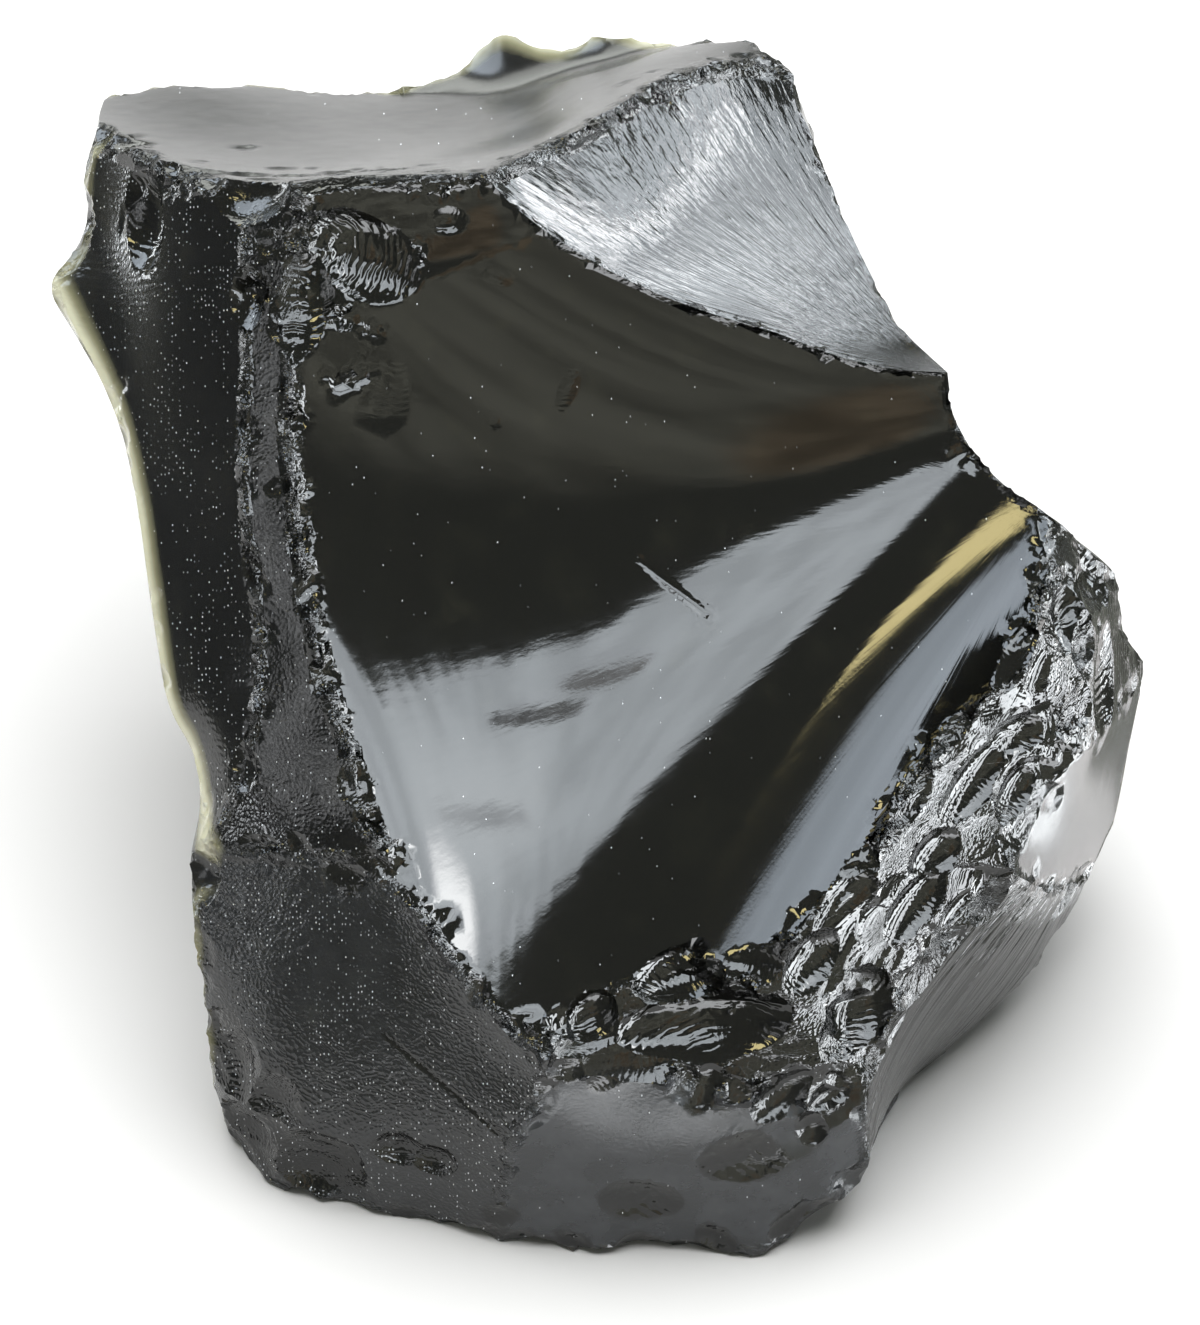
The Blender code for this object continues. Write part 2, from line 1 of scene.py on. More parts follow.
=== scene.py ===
"""Obsidian chunk: the glass, its edges, its crumbs and the studio it stands in.

The lump repeats the patchwork of fracture faces of its solid, in finer triangles. Flakes
are struck off it in rounds: the broad scars, the bites along the crushed edges, the small
chips between them, the clean shells, and the last crushed patches. What is finer than a
chip is bump in the glass itself.
"""

import math
import random

import bmesh
import bpy
import numpy as np
from mathutils import Matrix, Vector
from mathutils.bvhtree import BVHTree
from mathutils.geometry import delaunay_2d_cdt


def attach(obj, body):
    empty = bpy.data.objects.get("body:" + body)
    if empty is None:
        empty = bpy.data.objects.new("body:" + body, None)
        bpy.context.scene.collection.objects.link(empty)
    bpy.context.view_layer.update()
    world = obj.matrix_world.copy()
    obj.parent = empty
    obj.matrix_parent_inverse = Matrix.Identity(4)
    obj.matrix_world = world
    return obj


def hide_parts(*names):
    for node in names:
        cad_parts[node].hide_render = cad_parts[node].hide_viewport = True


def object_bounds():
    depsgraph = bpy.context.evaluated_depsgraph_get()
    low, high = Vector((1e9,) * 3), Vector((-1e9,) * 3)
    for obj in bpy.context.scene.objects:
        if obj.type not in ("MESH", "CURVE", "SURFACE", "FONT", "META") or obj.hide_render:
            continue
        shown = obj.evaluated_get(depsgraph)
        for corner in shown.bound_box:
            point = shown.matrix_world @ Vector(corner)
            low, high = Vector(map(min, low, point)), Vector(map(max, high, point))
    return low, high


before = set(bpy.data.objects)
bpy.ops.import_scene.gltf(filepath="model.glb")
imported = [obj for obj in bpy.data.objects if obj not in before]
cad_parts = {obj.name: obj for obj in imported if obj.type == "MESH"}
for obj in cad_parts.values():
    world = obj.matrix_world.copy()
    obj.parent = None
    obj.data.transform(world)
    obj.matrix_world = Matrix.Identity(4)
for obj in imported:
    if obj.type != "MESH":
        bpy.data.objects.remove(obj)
CAD_BOX = [list(corner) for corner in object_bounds()]

bl_info = {
    "name": "Obsidian chunk",
    "version": (1, 0, 0),
    "blender": (4, 5, 0),
    "location": "3D View > Sidebar > Obsidian",
    "description": "A broken lump of black volcanic glass with flaked, crushed edges",
    "category": "Add Mesh",
}

NODE = "obsidian_chunk"
BODY = "root"
MM = 0.001

# How the lump lies: the hollow looks this far above the horizon, and its centre is this high.
LEAN = math.radians(50.0)
CENTRE_HEIGHT = 78.0

# How far apart the points of an edge are, how near two ends must be to be one corner, and
# how near two points must be to be the same one.
EDGE_STEP = 5.0
CORNER_REACH = 1.5
SAME_PLACE = 1e-6

# Edges of the front, in mm: across, up the hollow, out of the hollow.
FRONT_EDGES = {
    "crown_end": [(-70, 71.5, -32), (-70.5, 74, -42), (-70, 77, -52)],
    "brow": [(-70, 71.5, -32), (-60, 66, -14), (-49.5, 63, -2)],
    "brow_gap": [(-49.5, 63, -2), (-45.5, 63, 1), (-41.5, 63.5, 2)],
    "hollow_top": [(-41.5, 63.5, 2), (-31, 64, 2.5), (-24, 64, 2), (-16.5, 64, 0)],
    "flute_top": [(-16.5, 64, 0), (-9.5, 67.5, -6), (-1.5, 71.5, -13), (5.5, 76.5, -24),
                  (12.5, 80, -34), (19.5, 81.5, -40), (27, 81, -43)],
    "crest_left": [(-70, 77, -52), (-59.5, 79, -56), (-51, 79, -59), (-39.5, 78, -61),
                   (-30, 78, -62)],
    "crest_peak": [(-30, 78, -62), (-24, 80.5, -62.5), (-19.5, 82, -62.5), (-14, 86, -61),
                   (-8, 84, -60), (-4, 84.5, -59.5), (1.5, 87, -58.5), (6, 85, -57),
                   (11.5, 84.5, -54)],
    "crest_right": [(11.5, 84.5, -54), (20, 85, -50), (24, 83.5, -47), (27, 81, -43)],
    "ledge": [(-30, 78, -62), (-14, 77, -53), (-5.5, 79, -50), (4, 81.5, -47),
              (11.5, 84.5, -54)],
    "flute_foot": [(-16.5, 64, 0), (-12.5, 60, -1), (-5.5, 55, -2), (1.5, 51, -3),
                   (8, 48, -4), (16.5, 45, -5.5), (25, 42.5, -7.5), (33, 39.5, -10),
                   (41.5, 37.5, -13.5), (48, 37, -17)],
    "flute_right": [(27, 81, -43), (28, 75.5, -42), (30, 70.5, -40), (32.5, 64, -37),
                    (35, 57.5, -33), (39, 49, -27), (43, 42.5, -22), (48, 37, -17)],
    "neck": [(48, 37, -17), (48.5, 33.5, -18.5), (49.5, 30, -19.5), (52, 26, -19.5),
             (54.5, 23, -18.5), (57.5, 20.5, -16.5), (63, 17, -12)],
    "shoulder_left": [(63, 17, -12), (62, 14, -10), (62, 11, -8)],
    "shoulder_back": [(63, 17, -12), (67.5, 13, -20), (72.5, 8.5, -30), (73, 4, -33),
                      (75, -1, -39), (77, -4, -45)],
    "shoulder_foot": [(62, 11, -8), (67.5, 5.5, -13), (67.5, -1.5, -14), (66.5, -8.5, -14),
                      (64, -17.5, -14)],
    "flank_ridge": [(77, -4, -45), (74, -8.5, -36), (69.5, -14, -22), (64, -17.5, -14)],
    "hollow_left": [(-41.5, 63.5, 2), (-41.5, 55, 1.5), (-42, 47, 1), (-42.5, 37, 0),
                    (-42.5, 26, 0), (-41.5, 16.5, 0), (-40, 5.5, -0.5), (-38, -5.5, -1),
                    (-35, -14, -1), (-32.5, -23.5, -1), (-29.5, -30.5, -1.5)],
    "hollow_low_left": [(-29.5, -30.5, -1.5), (-23.5, -40, -2), (-18, -47.5, -3),
                        (-13, -53, -4), (-7.5, -58.5, -5)],
    "hollow_rim": [(-7.5, -58.5, -5), (-5, -54, -6), (0, -50.5, -6), (5.5, -48.5, -5.5),
                   (12.5, -47.5, -5), (20, -46, -4), (27.5, -40, -3), (36, -31.5, -1),
                   (42, -22, 0), (49.5, -11.5, 0), (56, -5.5, -1), (60, 3, -4), (62, 11, -8)],
    "cheek_ridge": [(-49.5, 63, -2), (-49, 48.5, -3), (-49, 37.5, -3.5), (-49.5, 25, -4),
                    (-49, 16.5, -4), (-48, 8, -5), (-47, -3, -6), (-49, -16.5, -8),
                    (-52, -23.5, -12), (-55, -29, -16)],
    "left_top": [(-70, 71.5, -32), (-71.5, 68.5, -33), (-72.5, 63, -35), (-73, 56, -36),
                 (-77, 50, -36)],
    "left_edge": [(-77, 50, -36), (-73.5, 43.5, -32), (-70.5, 38, -29), (-67.5, 31, -26),
                  (-65.5, 23.5, -24), (-64, 15.5, -22), (-63, 8.5, -21), (-61, -4, -20),
                  (-59.5, -10.5, -19.5), (-57, -14.5, -19), (-55.5, -21, -18),
                  (-55, -29, -16)],
    "column_foot": [(-29.5, -30.5, -1.5), (-42, -30, -7), (-55, -29, -16)],
    "low_left_edge": [(-55, -29, -16), (-55.5, -31.5, -17), (-54, -34, -17),
                      (-56.5, -36, -20), (-56.5, -40.5, -21), (-55.5, -53, -29),
                      (-54.5, -62, -38), (-53, -67.5, -45)],
    "foot_left": [(-7.5, -58.5, -5), (-9, -64.5, -10), (-12, -69.5, -15), (-13, -75, -21),
                  (-14, -80, -26), (-14, -84.5, -31)],
    "foot_top": [(-7.5, -58.5, -5), (0, -59.5, -6.5), (5.5, -59, -7), (14, -62.5, -9),
                 (22, -63, -10.5), (32, -63.5, -12.5), (37.5, -60, -14)],
    "foot_right": [(37.5, -60, -14), (37, -65.5, -17.5), (37.5, -73, -24)],
    "foot_corner": [(37.5, -73, -24), (33, -78.5, -25.5), (28, -80.5, -26), (26, -84.5, -28.5),
                    (20.5, -86.5, -29.5)],
    "band_low": [(37.5, -60, -14), (41.5, -51.5, -14.5), (47.5, -43, -14.5),
                 (51.5, -38, -14.5), (57.5, -32.5, -15)],
    "band_high": [(57.5, -32.5, -15), (58, -26, -14), (60, -22, -13.5), (62, -19.5, -13.5),
                  (64, -17.5, -14)],
    "flank_low": [(57.5, -32.5, -15), (63, -35, -31), (69.5, -33.5, -50)],
    "flank_back": [(77, -4, -45), (76, -8.5, -46), (74.5, -16, -48), (72.5, -26, -49),
                   (69.5, -33.5, -50)],
    "streak_back": [(69.5, -33.5, -50), (65, -41, -51), (62, -46, -51.5),
                    (56.5, -51.5, -51.5), (51, -56.5, -50.5), (43.5, -62.5, -49.5)],
    "streak_foot": [(43.5, -62.5, -49.5), (39.5, -67, -42), (39, -69, -34), (37.5, -73, -24)],
}

# Edges of the base and the back, in mm as the lump lies: right, back, up.
REST_EDGES = {
    "base_toe": [(-53, -23, 0), (-50.5, -30.5, 0), (-45, -35, 0), (-41, -37, 0),
                 (-30, -40, 0), (-24, -41, 0), (-18, -43.5, 0), (-14, -45, 0)],
    "base_front": [(-14, -45, 0), (-5.5, -46, 0), (0, -47, 0), (5.5, -46, 0),
                   (14, -46.5, 0), (20.5, -47.5, 0)],
    "base_corner": [(20.5, -47.5, 0), (34, -34, 0), (43.5, -16, 0)],
    "base_right": [(43.5, -16, 0), (54, 2, 0), (58, 22, 0)],
    "base_rear_right": [(58, 22, 0), (50, 42, 0), (36, 58, 0)],
    "base_back": [(36, 58, 0), (10, 66, 0), (-20, 62, 0), (-42, 50, 0)],
    "base_left": [(-42, 50, 0), (-50, 25, 0), (-54, 0, 0), (-53, -23, 0)],
    "back_right": [(27, 90, 97), (33, 86, 70), (38, 76, 35), (36, 58, 0)],
    "back_left": [(-70, 92.5, 87.5), (-66, 88, 60), (-55, 70, 28), (-42, 50, 0)],
    "horn_foot": [(77, 26, 41), (72, 27, 20), (58, 22, 0)],
}

# The faces, in the order in which they are settled. A minus walks an edge backwards.
# The stiffness smooths a face's own edges; the points inside it give its hollow or swell.
FACES = {
    "base": {
        "loop": ["base_front", "base_corner", "base_right", "base_rear_right", "base_back",
                 "base_left", "base_toe"],
        "stiffness": 0.0,
    },
    "hollow": {
        "loop": ["hollow_top", "flute_foot", "neck", "shoulder_left", "-hollow_rim",
                 "-hollow_low_left", "-hollow_left"],
        "inside": [(-28, 47, -2), (-28, 26, -5.5), (-28, 5.5, -7.5), (-26, -16, -6),
                   (0, 33, -10.5), (0, 5.5, -15), (0, -22, -12.5), (28, 30, -16),
                   (28, 18, -19), (28, 4, -17.5), (49.5, 21, -18.5), (35.5, 7, -16.8),
                   (40.5, 2, -14.4), (44.5, -2, -10.9), (55, 8.5, -12), (54.5, 16, -16),
                   (20, -8.5, -14.6), (25, -13.5, -12.3), (30.5, -19, -8.6),
                   (12.5, -29.5, -10), (18.5, -35.5, -7.3)],
        "stiffness": 400.0,
    },
    "crown": {
        "loop": ["brow", "brow_gap", "hollow_top", "flute_top", "-crest_right", "-ledge",
                 "-crest_left", "-crown_end"],
        "inside": [(-35, 69, -30), (-12, 71, -30), (-56, 70, -32)],
        "stiffness": 100.0,
    },
    "crown_step": {
        "loop": ["crest_peak", "-ledge"],
        "stiffness": 0.0,
    },
    "flute": {
        "loop": ["flute_top", "flute_right", "-flute_foot"],
        "inside": [(8, 64, -20), (20, 62, -28), (24, 52, -21)],
        "stiffness": 100.0,
    },
    "cheek": {
        "loop": ["brow", "cheek_ridge", "-left_edge", "-left_top"],
        "inside": [(-60, 40, -15), (-56, 15, -12.5), (-54, -8, -12)],
        "stiffness": 50.0,
    },
    "column": {
        "loop": ["brow_gap", "hollow_left", "column_foot", "-cheek_ridge"],
        "inside": [(-46, 20, -2), (-43, -8, -3.5)],
        "stiffness": 20.0,
    },
    "lower_left": {
        "loop": ["hollow_low_left", "foot_left", "-base_toe", "-low_left_edge",
                 "-column_foot"],
        "inside": [(-36, -50, -13), (-30, -65, -20)],
        "stiffness": 20.0,
    },
    "foot": {
        "loop": ["foot_top", "foot_right", "foot_corner", "-base_front", "-foot_left"],
        "inside": [(10, -74, -18)],
        "stiffness": 20.0,
    },
    "band": {
        "loop": ["hollow_rim", "shoulder_foot", "-band_high", "-band_low", "-foot_top"],
        "stiffness": 20.0,
    },
    "shoulder": {
        "loop": ["shoulder_back", "flank_ridge", "-shoulder_foot", "-shoulder_left"],
        "stiffness": 20.0,
    },
    "flank": {
        "loop": ["flank_ridge", "-band_high", "flank_low", "-flank_back"],
        "stiffness": 20.0,
    },
    "streaks": {
        "loop": ["band_low", "flank_low", "streak_back", "streak_foot", "-foot_right"],
        "stiffness": 20.0,
    },
    "undercut": {
        "loop": ["foot_corner", "base_corner", "streak_foot"],
        "stiffness": 20.0,
    },
    "left_wall": {
        "loop": ["crown_end", "back_left", "base_left", "-low_left_edge", "-left_edge",
                 "-left_top"],
        "inside_at_rest": [(-61, 62, 62), (-58, 42, 48), (-57, 62, 35), (-51, 12, 34),
                           (-50, 32, 18), (-50, -6, 22), (-51, 2, 40), (-52, -12, 34)],
        "stiffness": 20.0,
    },
    "back_wall": {
        "loop": ["crest_left", "crest_peak", "crest_right", "back_right", "base_back",
                 "-back_left"],
        "inside_at_rest": [(-40, 80, 50), (-15, 79, 40), (12, 80, 48), (-10, 90, 68)],
        "stiffness": 20.0,
    },
    "right_wall": {
        "loop": ["flute_right", "neck", "shoulder_back", "horn_foot", "base_rear_right",
                 "-back_right"],
        "inside_at_rest": [(37, 65, 75), (48, 52, 50), (54, 42, 20)],
        "stiffness": 20.0,
    },
    "right_foot": {
        "loop": ["flank_back", "streak_back", "base_right", "-horn_foot"],
        "stiffness": 20.0,
    },
}


# Flake scars struck into the front: across, up, radius, depth, stretch, turn of the stretch.
SCARS = {
    "top_hollow": (-27.0, 56.0, 7.0, 0.9, 1.8, 0),
    "shoulder_cap": (68.5, 8.0, 5.0, 1.6, 1.3, 130),
    "shell_corner": (35.0, -54.5, 5.0, 2.0, 1.3, 30),
    "shell_peak": (65.0, 4.0, 4.0, 1.6, 1.4, 80),
    "toe_facet": (-50.0, -70.0, 6.0, 2.0, 1.3, 130),
    "toe_scoop": (-38.0, -76.0, 5.0, 1.6, 1.6, 160),
    "low_scar": (-51.0, -59.0, 5.0, 1.4, 1.5, 60),
    "notch": (-55.5, -32.5, 3.0, 2.0, 1.2, 30),
    "foot_crescent": (27.0, -69.0, 5.0, 0.9, 1.5, 20),
}

# Clean shells struck last: across, up, radius, depth, stretch, the lie of the long side in
# degrees, how far each tips upwards, where it was struck from, and its fan: how fine its
# lines are, and the spacing and the height of its rings.
SHELLS = {
    "window": (-49.0, 60.5, 5.5, 2.5, 1.3, 160, 0.55, (-56.0, 70.0), (20, 1.0, 0.0)),
    "left_scoop": (-63.5, 56.0, 5.6, 2.4, 1.3, 95, 0.3, (-62.0, 64.0), (9, 1.1, 0.035)),
    "spout": (-48.2, 46.0, 2.4, 1.2, 3.4, 88, 0.2, (-48.0, 62.0), (14, 2.0, 0.01)),
    "great_fan": (-31.5, 50.0, 4.7, 1.6, 1.6, -30, 0.25, (-40.0, 54.0), (14, 1.0, 0.055)),
    "small_fan": (-40.4, 43.1, 4.2, 1.4, 1.6, 80, 0.2, (-41.0, 53.0), (14, 1.15, 0.06)),
    "small_shell": (-21.0, 57.5, 1.9, 0.5, 1.3, 0, 0.1, (-22.0, 60.0), (9, 0.6, 0.03)),
    "faint_right": (-28.8, 36.0, 2.4, 0.08, 1.6, 80, 0.0, (-28.0, 43.0), (12, 0.9, 0.006)),
    "ring": (-0.7, -52.0, 3.2, 1.5, 1.2, 60, 0.1, (-3.0, -49.0), (9, 0.8, 0.022)),
    "shell_low": (9.0, -48.0, 3.6, 1.4, 1.5, 25, 0.35, (5.0, -51.0), (8, 0.9, 0.025)),
    "shell_wide": (16.0, -55.5, 4.6, 1.9, 2.3, 2, 0.4, (18.0, -66.0), (10, 1.1, 0.033)),
    "shell_tall": (28.3, -46.5, 3.8, 1.6, 1.4, 50, 0.35, (34.0, -41.0), (8, 0.8, 0.025)),
    "shell_bright": (31.5, -40.0, 3.6, 1.0, 1.7, 52, 0.3, (26.0, -48.0), (10, 0.9, 0.011)),
    "shell_low_right": (36.0, -52.5, 4.2, 1.6, 1.3, 100, 0.3, (36.0, -46.0), (9, 0.9, 0.022)),
    "shell_long": (42.0, -40.5, 3.2, 1.2, 2.0, 55, 0.35, (37.0, -48.0), (8, 0.9, 0.017)),
    "shell_dark": (46.2, -30.0, 3.9, 1.9, 1.25, 30, 0.0, (43.0, -24.0), (9, 1.0, 0.007)),
    "shell_inner": (50.0, -38.0, 3.0, 1.2, 1.5, 60, 0.1, (46.0, -43.0), (8, 0.8, 0.017)),
    "shell_streaks": (50.4, -22.0, 3.4, 1.3, 2.1, 48, 0.2, (42.0, -30.0), (12, 0.8, 0.017)),
    "shell_high": (57.0, -22.5, 3.0, 1.4, 1.5, 60, 0.1, (55.0, -28.0), (8, 0.8, 0.022)),
    "shell_arch": (57.5, -14.5, 3.6, 1.7, 1.5, 15, 0.3, (58.0, -20.0), (9, 0.9, 0.025)),
    "shell_top": (60.5, -5.5, 2.8, 1.2, 1.9, 70, 0.2, (57.0, -11.0), (8, 0.8, 0.022)),
    "shell_peak": (64.0, 2.0, 2.4, 1.0, 1.6, 80, 0.2, (62.0, 8.0), (8, 0.7, 0.017)),
    "shoulder_shell": (70.5, -7.5, 5.4, 1.6, 1.6, 80, 0.1, (63.0, 3.0), (9, 1.1, 0.04)),
    "twin_left": (-28.0, -71.5, 3.0, 1.2, 1.2, 0, 0.2, (-28.0, -66.0), (12, 0.8, 0.04)),
    "twin_right": (-23.0, -73.0, 2.8, 1.2, 1.2, 0, 0.2, (-23.0, -68.0), (12, 0.8, 0.04)),
    "crescent_left": (-50.0, -58.0, 3.6, 0.8, 1.4, 60, 0.1, (-55.0, -52.0), (12, 0.9, 0.04)),
    "crescent_low": (-46.0, -63.5, 3.0, 0.7, 1.4, 40, 0.1, (-51.0, -58.0), (12, 0.9, 0.04)),
    "pale_flake": (-26.3, -34.0, 2.6, 0.22, 1.5, 10, 0.0, (-32.0, -34.0), (9, 2.0, 0.004)),
    "foot_flake": (29.5, -67.5, 2.2, 0.8, 1.3, 90, 0.0, (29.0, -63.0), (9, 0.8, 0.01)),
    "arc_low": (5.5, -79.0, 3.8, 0.8, 1.5, -15, 0.2, (12.0, -72.0), (9, 1.3, 0.04)),
    "arc_mid": (20.0, -73.5, 4.6, 0.8, 1.6, 20, 0.2, (28.0, -64.0), (9, 1.5, 0.04)),
    "scratch": (-22.0, -61.5, 0.5, 0.12, 14.0, -46, 0.0, (-30.0, -53.0), (9, 1.0, 0.0)),
    "mark_high": (-4.5, 34.5, 1.3, 0.12, 2.0, 70, 0.0, (-4.0, 38.0), (9, 0.8, 0.01)),
    "mark_left": (-14.5, 30.0, 0.8, 0.1, 1.3, 20, 0.0, (-15.0, 31.0), (9, 0.8, 0.01)),
    "mark_top": (-14.0, 50.0, 1.0, 0.15, 2.2, 160, 0.0, (-16.0, 52.0), (9, 0.8, 0.01)),
    "mark_crack": (10.0, 7.5, 0.7, 0.08, 6.0, -38, 0.0, (4.0, 12.0), (9, 0.8, 0.0)),
}

# Crushed patches that came after the clean shells, measured as the others are below.
LATE_PATCHES = {
    "knob": (-40.0, 54.0, 3.5, 3.5, 0, 26, 0.6, 1.4),
    "fan_foot": (-34.5, 43.8, 4.5, 1.2, -25, 16, 0.5, 1.2),
    "fan_side": (-26.0, 53.5, 3.0, 1.5, -40, 12, 0.5, 1.2),
}
LATE_SEED = 31

# A shell faces the mean way out over this share of its radius. It sheds this share of the
# crushing and of the dust and the sheen painted as dust, and this share of the roughness.
SHELL_VIEW = 0.5
SHELL_CLEAN = 0.92
SHELL_SHEEN = 0.5

# Chips from this radius up are clean shells with this fan; those of a patch lie along it
# within this many degrees, and tip upwards this far.
SHELL_RADIUS = 1.6
CHIP_FAN = (7.0, 0.9, 0.012)
CHIP_SWING = 35.0
CHIP_TIP = 0.2

# Broad scars on the sides and the back: a point near each as the lump lies, then the same.
REAR_SCARS = {
    "back_shell": ((-22, 90, 62), 15.0, 2.8, 1.3, 40),
    "back_low": ((14, 78, 26), 12.0, 2.2, 1.3, 120),
    "back_high": ((14, 92, 76), 10.0, 1.8, 1.4, 10),
    "back_left_shell": ((-48, 76, 34), 10.0, 2.0, 1.3, 70),
    "right_shell": ((46, 58, 62), 13.0, 2.5, 1.3, 60),
    "right_low": ((52, 44, 24), 10.0, 2.0, 1.3, 130),
    "right_under": ((66, 12, 18), 8.0, 1.6, 1.4, 100),
    "left_shell": ((-57, 56, 38), 10.0, 1.8, 1.3, 80),
    "left_low": ((-52, 16, 24), 10.0, 2.0, 1.4, 20),
}

# Crushed edges: how many bites each one has, and their smallest and largest radius.
BITTEN_EDGES = {
    "brow": (4, 2.5, 4.5), "hollow_top": (5, 2.2, 3.5), "flute_top": (4, 1.8, 2.8),
    "hollow_left": (9, 2.5, 4.5), "hollow_low_left": (4, 2.2, 3.6),
    "hollow_rim": (9, 2.8, 4.5), "foot_top": (6, 2.4, 4.0), "band_low": (4, 2.5, 4.0),
    "band_high": (2, 2.2, 3.4), "shoulder_foot": (3, 2.4, 4.0), "cheek_ridge": (4, 1.8, 3.2),
    "left_top": (3, 2.5, 4.0), "left_edge": (2, 1.5, 2.2), "low_left_edge": (3, 2.0, 3.4),
    "foot_corner": (3, 2.5, 4.0), "base_front": (4, 2.0, 3.0), "base_toe": (4, 2.0, 3.5),
    "crest_left": (2, 2.0, 3.0), "crest_peak": (2, 2.0, 3.0), "crest_right": (2, 2.0, 2.8),
    "back_right": (3, 3.5, 6.0), "back_left": (3, 3.5, 6.0), "horn_foot": (2, 3.0, 4.5),
    "streak_back": (2, 2.5, 3.5), "base_back": (3, 3.0, 5.0), "base_left": (2, 3.0, 4.5),
    "base_right": (2, 2.5, 4.0),
}
BITE_DEPTH = 0.42
BITE_SEED = 11

# How far round a spot, in mm, the way out of the lump is averaged for a scar and a bite.
SCAR_VIEW = 1.5
BITE_VIEW = 2.5

# How fine the facets are, in mm: a face's own grain, and for each edge the grain beside it
# and how far to its sides that grain goes.
FACE_GRAIN = {
    "hollow": 1.6, "crown": 1.0, "crown_step": 1.1, "flute": 1.0, "cheek": 0.8, "column": 0.6,
    "lower_left": 0.7, "foot": 0.9, "band": 0.46, "shoulder": 0.65, "flank": 1.0,
    "streaks": 0.75, "undercut": 1.0, "left_wall": 1.9, "back_wall": 2.0, "right_wall": 1.8,
    "right_foot": 1.5, "base": 3.2,
}
EDGE_GRAIN = {
    "brow": (0.6, 3.0), "brow_gap": (0.6, 3.0), "hollow_top": (0.55, 4.0),
    "flute_top": (0.6, 2.5), "crest_left": (0.8, 1.5), "crest_peak": (0.8, 1.5),
    "crest_right": (0.8, 1.5), "ledge": (0.8, 1.0), "flute_foot": (0.8, 0.5),
    "flute_right": (0.7, 2.0), "neck": (0.7, 2.0), "hollow_left": (0.48, 2.2),
    "hollow_low_left": (0.5, 1.8), "hollow_rim": (0.46, 2.0), "cheek_ridge": (0.6, 2.5),
    "left_top": (0.8, 2.0), "left_edge": (0.7, 2.5), "column_foot": (0.7, 2.0),
    "low_left_edge": (0.7, 2.0), "foot_left": (0.65, 2.0), "foot_top": (0.46, 2.5),
    "foot_right": (0.7, 2.0), "foot_corner": (0.8, 1.5), "band_low": (0.46, 2.0),
    "band_high": (0.6, 2.5), "shoulder_left": (0.6, 2.5), "shoulder_foot": (0.48, 2.0),
    "shoulder_back": (0.8, 1.5), "flank_ridge": (0.7, 1.5), "flank_low": (0.8, 1.5),
    "flank_back": (1.0, 1.0), "streak_back": (1.0, 1.0), "streak_foot": (0.8, 1.5),
    "base_toe": (0.9, 1.5), "base_front": (0.9, 1.5), "crown_end": (0.8, 1.5),
}
HIDDEN_EDGE = (1.6, 1.0)
GRAIN_LADDER = (0.42, 0.5, 0.6, 0.75, 0.95, 1.25, 1.7, 2.3, 3.1)
GRADING = 0.3

# Faces that are one even sweep of hollow glass: the order of the sweep, and its least bend.
EVEN_FACES = {"hollow": (5, 0.0006)}
EVEN_STEP = 2.0
EVEN_SCALE = 50.0
EVEN_ROUNDS = 12
EVEN_WEIGHT = 1500.0

# The grain in and just round a scar, in mm, and for a small shell as a share of its radius.
REAR_FACES = ("base", "left_wall", "back_wall", "right_wall", "right_foot")
SCAR_GRAIN = 0.7
SHELL_GRAIN = 0.35
REAR_SCAR_GRAIN = 1.1
SCAR_ROOM = 1.1

# Points this near a scar's rim, as a share of the grain, are pulled onto it.
RIM_PULL = 0.33

# How far a chip may tilt, and its least and greatest depth as shares of its radius.
CHIP_TILT = 0.25
CHIP_DEPTH = (0.14, 0.3)

# Small chips: how many on each edge, their smallest and largest radius, and how far aside.
EDGE_CHIPS = {
    "brow": (30, 0.8, 2.2, 2.5), "brow_gap": (12, 0.8, 2.0, 2.5),
    "hollow_top": (45, 0.7, 2.0, 3.0), "flute_top": (45, 0.7, 1.8, 1.8),
    "crest_left": (12, 0.8, 2.0, 1.5),
    "crest_peak": (14, 0.8, 2.0, 1.5), "crest_right": (10, 0.8, 1.8, 1.5),
    "flute_right": (14, 0.7, 1.6, 1.2), "neck": (16, 0.7, 1.6, 1.5),
    "hollow_left": (150, 0.5, 1.3, 1.3), "hollow_low_left": (60, 0.5, 1.3, 1.2),
    "hollow_rim": (120, 0.7, 2.4, 1.8), "cheek_ridge": (60, 0.5, 1.3, 1.0),
    "left_top": (14, 0.8, 2.2, 1.5), "left_edge": (30, 0.7, 1.6, 1.2),
    "column_foot": (14, 0.8, 2.2, 1.5), "low_left_edge": (20, 0.8, 2.2, 1.5),
    "foot_left": (24, 0.8, 2.2, 2.0), "foot_top": (45, 0.9, 2.8, 2.2),
    "foot_right": (8, 0.8, 1.8, 1.2), "foot_corner": (10, 0.8, 2.2, 1.5),
    "band_low": (40, 0.9, 2.6, 2.0), "band_high": (20, 0.8, 2.4, 2.0),
    "shoulder_left": (8, 0.8, 2.0, 1.5), "shoulder_foot": (30, 0.8, 2.4, 2.0),
    "shoulder_back": (12, 0.8, 1.8, 1.2), "flank_ridge": (16, 0.8, 1.8, 1.2),
    "flank_low": (12, 0.8, 1.8, 1.0), "streak_foot": (10, 0.8, 1.8, 1.0),
    "base_front": (40, 0.7, 2.2, 2.2), "base_toe": (40, 0.7, 2.4, 2.2),
    "back_left": (14, 1.5, 4.0, 2.0), "back_right": (14, 1.5, 4.0, 2.0),
    "base_left": (10, 1.5, 3.5, 1.5), "base_back": (10, 1.5, 3.5, 1.5),
    "horn_foot": (8, 1.2, 3.0, 1.5), "streak_back": (8, 1.0, 2.5, 1.2),
}
EDGE_CHIP_SEED = 5

